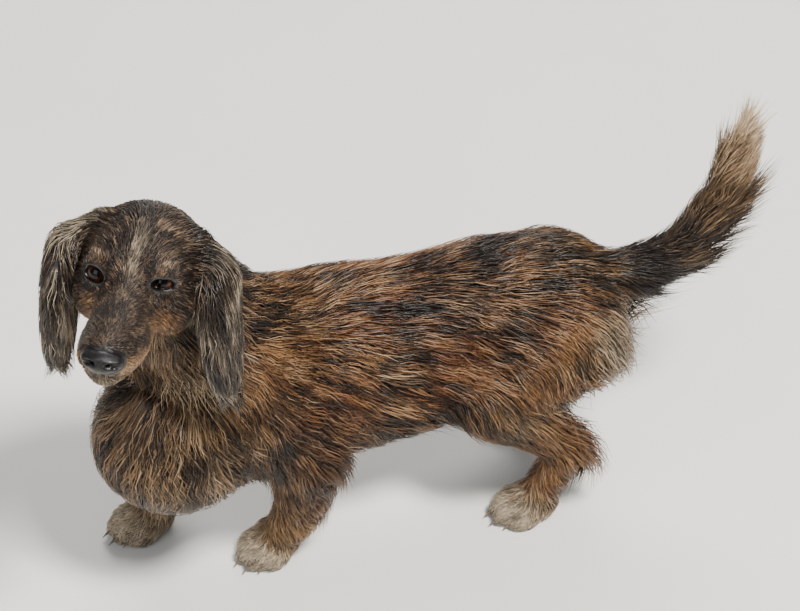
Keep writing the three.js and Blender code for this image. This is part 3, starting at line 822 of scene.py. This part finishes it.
@dataclass(frozen=True)
class EyeFinish:
    """Pupil, brown iris with fine rays, dark ring and white, under a clear wet front."""

    pupil: float = 0.36
    iris: float = 0.84

    def make(self) -> bpy.types.Material:
        """The material, by the angle from the gaze, which the mesh carries."""
        paint = Paint("eye_glass")
        angle = paint.value("angle")
        ring = paint.node("ShaderNodeValToRGB")
        stops = ring.color_ramp.elements
        marks = ((0.0, 0x020101), (self.pupil - 0.02, 0x020101), (self.pupil + 0.03, 0x2B160C),
                 (0.5 * (self.pupil + self.iris), 0x442513), (self.iris - 0.05, 0x23120A),
                 (self.iris, 0x070403), (self.iris + 0.08, 0x1E1512), (1.0, 0x3A2C26))
        stops[0].position, stops[0].color = marks[0][0], linear(marks[0][1])
        stops[1].position, stops[1].color = marks[-1][0], linear(marks[-1][1])
        for place, code in marks[1:-1]:
            stops.new(place).color = linear(code)
        paint.link(angle, ring.inputs[0])
        rays = paint.math("MULTIPLY", paint.value("rays"), 0.45, clamp=True)
        paint.link(paint.mix(rays, ring.outputs[0], linear(0x0D0705)), paint.shader.inputs["Base Color"])
        paint.shader.inputs["Roughness"].default_value = 0.12
        paint.shader.inputs["Coat Weight"].default_value = 0.32
        paint.shader.inputs["Coat Roughness"].default_value = 0.03
        paint.shader.inputs["Specular IOR Level"].default_value = 0.08
        paint.bump(paint.noise(1500), 0.02, 0.0001)
        return paint.material


@dataclass(frozen=True)
class HornFinish:
    """Dark horn of the claws, paler towards the tip."""

    def make(self) -> bpy.types.Material:
        """The material."""
        paint = Paint("claw_horn")
        tone = paint.mix(paint.noise(420, 3.0, (1.0, 1.0, 0.2)), linear(0x17110D), linear(0x4A3B30))
        paint.link(paint.mix(paint.value("along"), tone, linear(0x6B5B4C)), paint.shader.inputs["Base Color"])
        paint.link(paint.math("ADD", 0.3, paint.math("MULTIPLY", paint.noise(700), 0.25)),
                   paint.shader.inputs["Roughness"])
        paint.bump(paint.noise(1300, 2.0, (1.0, 1.0, 0.15)), 0.2, 0.0002)
        return paint.material


def clear_selection() -> None:
    """Leaves object mode with nothing selected."""
    if bpy.context.object and bpy.context.object.mode != "OBJECT":
        bpy.ops.object.mode_set(mode="OBJECT")
    bpy.ops.object.select_all(action="DESELECT")


def places_of(mesh: bpy.types.Mesh) -> Array:
    """A mesh's points as rows."""
    co = np.empty(len(mesh.vertices) * 3, np.float32)
    mesh.vertices.foreach_get("co", co)
    return co.reshape(-1, 3).astype(float)


def place_all(mesh: bpy.types.Mesh, points: Array) -> None:
    """Moves all of a mesh's points."""
    mesh.vertices.foreach_set("co", points.astype(np.float32).ravel())
    mesh.update()


def carry(mesh: bpy.types.Mesh, name: str, values: Array) -> None:
    """Stores one value for each point of a mesh."""
    mesh.attributes.new(name, "FLOAT", "POINT").data.foreach_set("value", values.astype(np.float32))


def finished(obj: bpy.types.Object, name: str, material: bpy.types.Material) -> bpy.types.Object:
    """Names, dresses and seats a piece."""
    obj.name = name
    obj.data.name = name
    obj.data.materials.clear()
    obj.data.materials.append(material)
    obj.data.polygons.foreach_set("use_smooth", np.ones(len(obj.data.polygons), bool))
    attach(obj, "root")
    LOG.info("%s: %d points, %d faces", name, len(obj.data.vertices), len(obj.data.polygons))
    return obj


@dataclass
class Body:
    """Where the animal stands in the frame: millimetres of the body to metres of the frame."""

    shift: Array = field(init=False)

    def __post_init__(self) -> None:
        """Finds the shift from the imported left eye."""
        low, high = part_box("eye_left")
        self.shift = np.array((low + high) / 2) * 1000 - on_head(*PACKED_LEFT_EYE)

    def metres(self, p: Array) -> Array:
        """Body millimetres as frame metres."""
        return (p + self.shift) / 1000

    def millimetres(self, p: Array) -> Array:
        """Frame metres as body millimetres."""
        return p * 1000 - self.shift


@dataclass
class Skin:
    """One skin over the whole body, finest on the face."""

    body: Body
    flesh: Flesh
    pattern: Pattern
    coarse: float = 5.0
    fine: float = 2.7

    def settle(self, obj: bpy.types.Object, rounds: int = 5) -> None:
        """Draws the points of a mesh in millimetres onto the skin's field."""
        p = places_of(obj.data)
        for _ in range(rounds):
            d = self.flesh.distance(p)
            p = p - np.clip(d, -4, 4)[:, None] * slope_of(self.flesh, p, 0.35) * 0.9
        place_all(obj.data, p)

    def remesh(self, obj: bpy.types.Object, size: float) -> None:
        """Fuses the mesh and gives it even faces."""
        modifier = obj.modifiers.new("fuse", "REMESH")
        modifier.mode = "VOXEL"
        modifier.voxel_size = size
        bpy.ops.object.modifier_apply(modifier=modifier.name)

    def refine(self, obj: bpy.types.Object, centres: list[Array], reach: float) -> None:
        """Divides the faces near some places."""
        mesh = obj.data
        centre = np.empty(len(mesh.polygons) * 3, np.float32)
        mesh.polygons.foreach_get("center", centre)
        centre = centre.reshape(-1, 3)
        near = np.min([np.linalg.norm(centre - c, axis=1) for c in centres], axis=0) < reach
        bpy.ops.object.mode_set(mode="EDIT")
        bpy.context.tool_settings.mesh_select_mode = (False, False, True)
        bpy.ops.mesh.select_all(action="DESELECT")
        bpy.ops.object.mode_set(mode="OBJECT")
        mesh.polygons.foreach_set("select", near)
        bpy.ops.object.mode_set(mode="EDIT")
        bpy.ops.mesh.subdivide(number_cuts=1)
        bpy.ops.mesh.select_all(action="DESELECT")
        bpy.ops.object.mode_set(mode="OBJECT")

    def build(self) -> bpy.types.Object:
        """Models the skin.

        Returns:
            The skin, in metres, with its markings and its unwrap.
        """
        clear_selection()
        before = set(bpy.data.objects)
        self.flesh.rough()
        made = [o for o in bpy.data.objects if o not in before]
        for o in made:
            o.select_set(True)
        bpy.context.view_layer.objects.active = made[0]
        bpy.ops.object.join()
        skin = bpy.context.object
        self.remesh(skin, self.coarse)
        self.settle(skin, 4)
        self.remesh(skin, self.fine)
        self.settle(skin, 3)
        eyes = [s.centre + s.gaze * s.radius for s in SOCKETS]
        muzzle = [on_head(f, s * 8, -33) for f in (30, 45, 58) for s in (1, -1)]
        self.refine(skin, eyes + muzzle, 17.0)
        self.settle(skin, 3)
        self.refine(skin, eyes, 12.5)
        self.settle(skin, 4)
        p = places_of(skin.data)
        for name, values in self.pattern.masks(p).items():
            carry(skin.data, name, values)
        carry(skin.data, "vary", 0.5 + 0.4 * octaves(p * 0.25, 77, 2))
        # Painted shade: this along value darkens the skin under the coat like the roots of the tufts.
        carry(skin.data, "along", np.full(len(p), 0.35))
        carry(skin.data, "rim", self.rim(p))
        place_all(skin.data, self.body.metres(p))
        self.unwrap(skin)
        parts = ["head", "neck", "torso", "tail", "ear_left", "ear_right"]
        parts += [limb.name for limb in LIMBS] + [f"paw_{limb.name.replace('leg', '')}" for limb in LIMBS]
        finished(skin, "skin", CoatFinish("skin_fur", bare=True).make())
        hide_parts(*parts)
        return skin

    def rim(self, p: Array) -> Array:
        """How bare and dark the skin is: the edges of the lids, the lips, the soles and under the nose."""
        rim = np.zeros(len(p))
        for socket in SOCKETS:
            near = np.linalg.norm(p - socket.centre, axis=1) < 16
            rim = np.where(near, np.maximum(rim, smooth(2.4, 1.4, np.abs(socket.opening.distance(p)))), rim)
        rim = np.maximum(rim, smooth(2.4, 1.0, MOUTH.distance(p)))
        rim = np.maximum(rim, smooth(1.3, 1.05, Coat.near_nose(p)))
        return np.maximum(rim, smooth(4.0, 2.0, p[:, 2]))

    def unwrap(self, skin: bpy.types.Object) -> None:
        """Lays the skin's own shape out flat."""
        skin.data.uv_layers.new(name="OFBake")
        clear_selection()
        skin.select_set(True)
        bpy.context.view_layer.objects.active = skin
        bpy.ops.object.mode_set(mode="EDIT")
        bpy.ops.mesh.select_all(action="SELECT")
        bpy.ops.uv.smart_project(angle_limit=math.radians(70), island_margin=0.002)
        bpy.ops.mesh.select_all(action="DESELECT")
        bpy.ops.object.mode_set(mode="OBJECT")


@dataclass
class Roots:
    """Where hair grows: places, directions, and the spots on the skin's unwrap."""

    place: Array
    normal: Array
    flat: Array
    region: Array


@dataclass
class Coat:
    """The coat, as solid tapered tufts that follow the lie of the hair, region by region."""

    body: Body
    flesh: Flesh
    pattern: Pattern
    skin: bpy.types.Object
    counts: dict[Region, int] = field(default_factory=lambda: {
        Region.TRUNK: 26000, Region.NECK: 7000, Region.HEAD: 19000, Region.EARS: 7400,
        Region.FORELEGS: 5600, Region.HINDLEGS: 9400, Region.PAWS: 4200, Region.TAIL: 5800})
    shares: tuple = (0.0, 0.14, 0.36, 0.64, 1.0)
    widths: tuple = (0.75, 1.0, 0.95, 0.62)
    clump_size: int = 16
    short_rings: tuple = (0, 2, 3, 4)
    patch_size: float = 0.003
    most_triangles: int = 190000
    sharpest_turn: float = 0.35
    ear_reach: float = 60.0
    ear_fringe: float = 9.0
    body_fringe: float = 26.0

    def scatter(self) -> Roots:
        """Even, seeded roots over the skin, many to a region as its count asks."""
        mesh = self.skin.data
        mesh.calc_loop_triangles()
        count = len(mesh.loop_triangles)
        corners, loops = np.empty(count * 3, np.int32), np.empty(count * 3, np.int32)
        mesh.loop_triangles.foreach_get("vertices", corners)
        mesh.loop_triangles.foreach_get("loops", loops)
        corners, loops = corners.reshape(-1, 3), loops.reshape(-1, 3)
        p = self.body.millimetres(places_of(mesh))
        flat = np.empty(len(mesh.loops) * 2, np.float32)
        mesh.uv_layers["OFBake"].data.foreach_get("uv", flat)
        flat = flat.reshape(-1, 2)
        a, b, c = (p[corners[:, k]] for k in range(3))
        area = np.linalg.norm(np.cross(b - a, c - a), axis=1) / 2
        middle = (a + b + c) / 3
        owner = np.argmin(self.pattern.parts(middle), axis=1)
        bare = self.bare(middle)
        rng = np.random.default_rng(SEED)
        chosen, weights = [], []
        for region, number in self.counts.items():
            mine = np.where(owner == region.value, area * (1 - bare), 0.0)
            if region is Region.HEAD:
                q = in_head(middle)
                mine = mine * (1 + 1.2 * smooth(-25, 10, q[:, 0]))
            edges = np.cumsum(mine)
            marks = (np.arange(number) + rng.random(number)) / number * edges[-1]
            chosen.append(np.searchsorted(edges, marks).clip(0, count - 1))
            weights.append(np.full(number, region.value))
        face, region = np.concatenate(chosen), np.concatenate(weights)
        r1, r2 = np.sqrt(rng.random(len(face))), rng.random(len(face))
        bary = np.stack([1 - r1, r1 * (1 - r2), r1 * r2], axis=1)
        place = np.einsum("ij,ijk->ik", bary, p[corners[face]])
        spot_uv = np.einsum("ij,ijk->ik", bary, flat[loops[face]])
        keep = self.bare(place) < 0.5
        place, spot_uv, region = place[keep], spot_uv[keep], region[keep]
        return Roots(place, slope_of(self.flesh, place, 0.9), spot_uv, region)

    def bare(self, p: Array) -> Array:
        """Where no hair grows: between the lids, on the lips' edge, under the nose and on the soles."""
        none = np.zeros(len(p))
        for socket in SOCKETS:
            near = np.linalg.norm(p - socket.centre, axis=1) < 18
            none = np.where(near, np.maximum(none, smooth(1.0, 0.5, socket.opening.distance(p))), none)
        none = np.maximum(none, smooth(1.6, 1.0, MOUTH.distance(p)))
        none = np.maximum(none, smooth(1.12, 1.04, self.near_nose(p)))
        return np.maximum(none, smooth(2.5, 1.5, p[:, 2]))

    @staticmethod
    def near_nose(p: Array) -> Array:
        """How far places lie from the middle of the nose, 1 at its leather."""
        return np.linalg.norm((in_head(p) - Nose.CENTRE) / np.array(Nose.RADII), axis=1)

    def clumps(self, place: Array) -> Array:
        """For each root, the root in the middle of its lock."""
        picks = np.random.default_rng(SEED + 1).permutation(len(place))[:: self.clump_size]
        tree = KDTree(len(picks))
        for pick in picks:
            tree.insert(place[pick], int(pick))
        tree.balance()
        return place[[tree.find(p)[1] for p in place]]

    def comb(self, roots: Roots) -> tuple[Array, Array, Array]:
        """Lays every tuft along the coat.

        Args:
            roots: where the hair grows.

        Returns:
            The middle line of each tuft, the directions away from the skin on it, and its width.
        """
        rng = np.random.default_rng(SEED + 2)
        p, n = roots.place, roots.normal
        growth = self.pattern.growth(p, n)
        count = len(p)
        length = growth.length * (0.72 + 0.5 * rng.random(count))
        lift = growth.depth * (0.25 + 0.85 * rng.random(count) ** 1.2)
        centre = self.clumps(p)
        swirl = octaves(centre * 0.03, 51, 2)
        jitter = rng.normal(0, 0.085, count)
        lie = unit(growth.lie - n * np.sum(growth.lie * n, axis=1)[:, None])
        across = np.cross(n, lie)
        lie = unit(lie + across * (0.3 * swirl + jitter)[:, None])
        path, normals = [p - 0.8 * n], [n]
        here, way, normal = p.copy(), lie, n
        pull = (centre - p) - n * np.sum((centre - p) * n, axis=1)[:, None]
        phase = 6.3 * lattice_noise(centre * 0.045, 61)
        for k in range(1, len(self.shares)):
            s, step = self.shares[k], self.shares[k] - self.shares[k - 1]
            side = unit(np.cross(normal, way))
            bend = growth.wave * np.sin(phase + 7.5 * s)
            here = here + unit(way + side * bend[:, None]) * (length * step)[:, None]
            here = here + pull * (0.62 * step * growth.wave.clip(0.1, 0.3) * 4)[:, None]
            normal = unit(slope_of(self.flesh, here, 1.0) + 0.6 * normal)
            depth = self.flesh.distance(here)
            height = lift * (1 - (1 - s) ** 1.8) + 0.4
            lack = height - depth
            give = np.where(lack > 0, 1.0, 1 - growth.free)
            here = here + normal * np.clip(lack * give, -7, 1.5 + 0.3 * length * step)[:, None]
            hold = np.sum(way * normal, axis=1) * (1 - 0.85 * growth.free)
            way = unit(way - normal * hold[:, None] + DOWN * (growth.sag * s * 0.6)[:, None])
            here[:, 2] = np.maximum(here[:, 2], 0.8)
            path.append(here)
            normals.append(normal)
        width = growth.width * (0.75 + 0.5 * rng.random(count))
        return np.stack(path, axis=1), np.stack(normals, axis=1), width

    def tufts(self, path: Array, normals: Array, width: Array, short: bool) -> tuple[Array, Array]:
        """Closed three-sided tapered blades round the middle lines.

        Args:
            path: the middle lines, one row of points for each tuft.
            normals: the directions away from the skin at those points.
            width: the greatest width of each tuft.
            short: with fewer rings, for short hair.

        Returns:
            The points, tuft by tuft, and the triangles of one tuft.
        """
        if short:
            path, normals = path[:, self.short_rings], normals[:, self.short_rings]
        shares = (0.8, 1.0, 0.6) if short else self.widths
        rings = len(shares)
        along = unit(path[:, 1:] - path[:, :-1])
        points = []
        for k in range(rings):
            side = unit(np.cross(along[:, k], normals[:, k]))
            out = np.cross(side, along[:, k])
            half = (width * shares[k] / 2)[:, None]
            points += [path[:, k] - side * half - out * half * 0.35, path[:, k] + side * half - out * half * 0.35,
                       path[:, k] + out * half * 0.5]
        points.append(path[:, rings])
        faces = [(0, 2, 1)]
        for k in range(rings - 1):
            for i in range(3):
                a, b = 3 * k + i, 3 * k + (i + 1) % 3
                faces += [(a, b, a + 3), (b, b + 3, a + 3)]
        last = 3 * (rings - 1)
        faces += [(last + i, last + (i + 1) % 3, 3 * rings) for i in range(3)]
        return np.stack(points, axis=1), np.array(faces)

    def steady(self, path: Array) -> Array:
        """Which tufts lie well: without a sharp turn, and with the tip close enough over the skin."""
        ways = unit(np.diff(path[:, 1:], axis=1).reshape(-1, 3)).reshape(len(path), -1, 3)
        turn = np.min(np.sum(ways[:, 1:] * ways[:, :-1], axis=2), axis=1)
        tip = self.flesh.distance(path[:, -1])
        from_ear = np.min([np.linalg.norm(path[:, 0] - e.flap, axis=1) for e in self.flesh.ears.values()], axis=0)
        fringe = np.where(from_ear < self.ear_reach, self.ear_fringe, self.body_fringe)
        return (turn > self.sharpest_turn) & (tip < fringe)

    def piece(self, name: str, roots: Roots, short: bool, material: bpy.types.Material) -> bpy.types.Object:
        """One part of the coat as a joined mesh, with its colours and its place on the unwrap."""
        path, normals, width = self.comb(roots)
        keep = self.steady(path)
        path, normals, width = path[keep], normals[keep], width[keep]
        roots = Roots(roots.place[keep], roots.normal[keep], roots.flat[keep], roots.region[keep])
        points, faces = self.tufts(path, normals, width, short)
        count, each = points.shape[:2]
        mesh = bpy.data.meshes.new(name)
        mesh.vertices.add(count * each)
        triangles = (faces[None] + (np.arange(count) * each)[:, None, None]).reshape(-1, 3)
        mesh.loops.add(triangles.size)
        mesh.polygons.add(len(triangles))
        mesh.loops.foreach_set("vertex_index", triangles.ravel().astype(np.int32))
        mesh.polygons.foreach_set("loop_start", np.arange(0, triangles.size, 3, dtype=np.int32))
        place_all(mesh, self.body.metres(points.reshape(-1, 3)))
        rings = (each - 1) // 3
        shares = [self.shares[k] for k in (self.short_rings if short else range(5))]
        along = np.repeat(np.array(shares[:rings]), 3).tolist() + [1.0]
        across = [-0.5, 0.5, 0.0] * rings + [0.0]
        for key, values in self.pattern.masks(roots.place).items():
            carry(mesh, key, np.repeat(values, each))
        rng = np.random.default_rng(SEED + 3 + len(name))
        shade = 0.5 + 0.35 * lattice_noise(self.clumps(roots.place) * 0.35, 91) + rng.normal(0, 0.17, count)
        carry(mesh, "vary", np.repeat(np.clip(shade, 0, 1), each))
        carry(mesh, "along", np.tile(along, count))
        patch = np.stack([np.array(across), np.array(along) - 0.5], axis=1) * self.patch_size
        flat = np.clip(roots.flat[:, None, :] + patch[None], 0, 1).reshape(-1, 2)
        mesh.uv_layers.new(name="OFBake").data.foreach_set("uv", flat[triangles.ravel()].astype(np.float32).ravel())
        mesh.validate()
        obj = bpy.data.objects.new(name, mesh)
        bpy.context.scene.collection.objects.link(obj)
        return finished(obj, name, material)

    def build(self) -> None:
        """Grows the coat in pieces of under 200,000 triangles."""
        roots = self.scatter()
        material = CoatFinish("coat_hair").make()
        for region in Region:
            mine = np.flatnonzero(roots.region == region.value)
            mine = mine[np.argsort(roots.place[mine, 0], kind="stable")]
            short = region not in (Region.NECK, Region.EARS, Region.TAIL)
            each = 16 if short else 22
            shares = math.ceil(len(mine) * each / self.most_triangles)
            for i, part in enumerate(np.array_split(mine, shares)):
                group = Roots(roots.place[part], roots.normal[part], roots.flat[part], roots.region[part])
                label = f"coat_{region.name.lower()}" + (f"_{i + 1}" if shares > 1 else "")
                self.piece(label, group, short, material)


@dataclass
class Eyes:
    """The two eyeballs, with the clear front swelling over the iris."""

    body: Body
    swell: float = 0.6
    swell_reach: float = 0.84
    lid_gap: float = 0.35

    def build(self) -> None:
        """Models each eye from a ball that is turned to its gaze."""
        material = EyeFinish().make()
        for socket in SOCKETS:
            clear_selection()
            bpy.ops.mesh.primitive_uv_sphere_add(segments=64, ring_count=48, radius=1.0)
            ball = bpy.context.object
            p = places_of(ball.data)
            angle = np.arccos(np.clip(p[:, 2], -1, 1))
            turn = np.arctan2(p[:, 1], p[:, 0])
            radius = socket.radius - self.lid_gap + self.swell * smooth(self.swell_reach, 0.0, angle)
            local = np.stack([p[:, 2], p[:, 0], p[:, 1]], axis=1) * radius[:, None]
            place_all(ball.data, self.body.metres(socket.centre + local @ socket.axes))
            carry(ball.data, "angle", np.clip(angle, 0, 1))
            carry(ball.data, "rays", 0.5 + 0.5 * lattice_noise(np.stack([turn * 14, angle * 2, 0 * turn], 1), 5))
            finished(ball, f"eyeball_{socket.side.label}", material)
            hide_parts(f"eye_{socket.side.label}")


@dataclass
class Nose:
    """The nose leather, with comma-shaped nostrils, a groove down the middle and wings at the sides."""

    CENTRE = (60.5, 0.0, -28.0)
    RADII = (8.6, 12.4, 7.4)
    body: Body

    def build(self) -> None:
        """Models the nose from a ball."""
        clear_selection()
        bpy.ops.mesh.primitive_uv_sphere_add(segments=96, ring_count=64, radius=1.0)
        nose = bpy.context.object
        p = places_of(nose.data)
        p = np.stack([p[:, 2], p[:, 0], p[:, 1]], axis=1)
        f, l, u = p.T
        side = np.abs(l)
        q = p * np.array(self.RADII)
        q[:, 1] *= 1 - 0.2 * smooth(0.1, -0.9, u)
        q[:, 2] *= np.where(u > 0, 0.9, 1.05)
        q[:, 0] += 0.9 * smooth(0.5, 0.9, side) * (f > -0.3)
        nostril = np.exp(-(((side - 0.5) / 0.2) ** 2 + ((u + 0.02 - 0.25 * (side - 0.5)) / 0.17) ** 2)) * (f > 0)
        comma = np.exp(-(((side - 0.74) / 0.12) ** 2 + ((u + 0.2) / 0.1) ** 2)) * (f > 0)
        groove = np.exp(-((l / 0.055) ** 2)) * (f > 0) * smooth(0.35, -0.2, u)
        hollow = np.clip(nostril * 1.15 + 0.75 * comma, 0, 1)
        q -= unit(q) * (3.4 * hollow + 0.7 * groove)[:, None]
        q += unit(q) * (0.5 * np.exp(-(((side - 0.5) / 0.34) ** 2 + ((u - 0.3) / 0.16) ** 2)) * (f > 0))[:, None]
        place_all(nose.data, self.body.metres(HEAD_ORIGIN + (q + np.array(self.CENTRE)) @ HEAD))
        # The hollow values also darken the nostrils in the leather's colour, as painted shade.
        carry(nose.data, "hollow", smooth(0.45, 0.95, hollow))
        finished(nose, "nose_pad", LeatherFinish().make())
        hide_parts("nose")


@dataclass
class Claws:
    """Sixteen curved claws, each modelled from one cone."""

    body: Body
    length: float = 9.5
    radius: float = 2.3

    def build(self) -> None:
        """Models each claw and sets it in the end of its toe."""
        material = HornFinish().make()
        for limb in LIMBS:
            ahead, left, _ = turned(limb.heading)
            for toe, (f, l, r) in enumerate(TOES):
                clear_selection()
                bpy.ops.mesh.primitive_cone_add(vertices=16, radius1=1.0, radius2=0.12, depth=1.0)
                claw = bpy.context.object
                bpy.ops.object.mode_set(mode="EDIT")
                bpy.ops.mesh.select_all(action="SELECT")
                bpy.ops.mesh.subdivide(number_cuts=6)
                bpy.ops.mesh.select_all(action="DESELECT")
                bpy.ops.object.mode_set(mode="OBJECT")
                p = places_of(claw.data)
                t = np.clip(p[:, 2] + 0.5, 0, 1)
                belly = 1 - 0.25 * smooth(0.0, -1.0, p[:, 1])
                at = limb.on_paw(f + r - 1.5, l, 0.0)
                q = at + np.outer(self.length * t, ahead) + np.outer(p[:, 0] * self.radius * 0.8, left)
                q[:, 2] = 6.8 - 4.1 * t * t + p[:, 1] * self.radius * belly
                place_all(claw.data, self.body.metres(q))
                carry(claw.data, "along", t)
                label = f"{limb.name.replace('leg', '')}_{toe + 1}"
                finished(claw, f"nail_{label}", material)
                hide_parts(f"claw_{label}")


@dataclass
class Studio:
    """The pale floor, the soft lights and the camera."""

    body: Body
    distance: float = 1742.0
    azimuth: float = 15.0
    elevation: float = 40.0
    field_of_view: float = 18.0

    def build(self) -> None:
        """Sets the floor, the lights and the camera round the animal."""
        clear_selection()
        bpy.ops.mesh.primitive_plane_add(size=8.0, location=(0, 0, 0))
        floor = bpy.context.object
        floor.name = "floor"
        paint = Paint("pale_floor")
        tone = paint.mix(paint.noise(6.0), linear(0xD9D7D2), linear(0xE2E0DC))
        paint.link(tone, paint.shader.inputs["Base Color"])
        paint.shader.inputs["Roughness"].default_value = 0.9
        floor.data.materials.append(paint.material)
        world = bpy.data.worlds.new("studio")
        bpy.context.scene.world = world
        world.use_nodes = True
        world.node_tree.nodes["Background"].inputs["Color"].default_value = (0.92, 0.95, 1.0, 1.0)
        world.node_tree.nodes["Background"].inputs["Strength"].default_value = 0.3
        self.light("key", (-0.5, 1.1, 2.3), 0.5, 140.0, (1.0, 0.97, 0.92))
        self.light("fill", (1.7, 1.3, 1.2), 1.6, 22.0, (0.94, 0.97, 1.0))
        self.light("rim", (-0.6, -1.7, 1.9), 1.0, 52.0, (1.0, 0.98, 0.95))
        self.camera()

    def light(self, name: str, place: tuple, size: float, power: float, colour: tuple) -> None:
        """One soft area light that faces the animal."""
        lamp = bpy.data.lights.new(name, "AREA")
        lamp.size, lamp.energy, lamp.color = size, power, colour
        obj = bpy.data.objects.new(name, lamp)
        obj.location = place
        obj.rotation_euler = (Vector((0, 0, 0.15)) - Vector(place)).to_track_quat("-Z", "Y").to_euler()
        bpy.context.scene.collection.objects.link(obj)

    def camera(self) -> None:
        """The camera at the photograph's direction and framing."""
        a, e = math.radians(self.azimuth), math.radians(self.elevation)
        back = np.array([math.sin(a) * math.cos(e), math.cos(a) * math.cos(e), math.sin(e)])
        place = np.array([0.0, -83.1, 90.0]) + back * self.distance
        data = bpy.data.cameras.new("view")
        data.sensor_width = 36.0
        data.lens = 18.0 / math.tan(math.radians(self.field_of_view) / 2)
        data.clip_end = 50.0
        obj = bpy.data.objects.new("view", data)
        obj.location = self.body.metres(place)
        obj.rotation_euler = Vector(-back).to_track_quat("-Z", "Y").to_euler()
        bpy.context.scene.collection.objects.link(obj)
        bpy.context.scene.camera = obj


def main() -> None:
    """Builds the animal from the skin outwards, then the studio."""
    logging.basicConfig(level=logging.INFO, format="%(message)s")
    body, flesh = Body(), Flesh()
    pattern = Pattern(flesh)
    skin = Skin(body, flesh, pattern).build()
    Coat(body, flesh, pattern, skin).build()
    Eyes(body).build()
    Nose(body).build()
    Claws(body).build()
    Studio(body).build()
    bpy.context.view_layer.update()


if __name__ == "__main__":
    main()
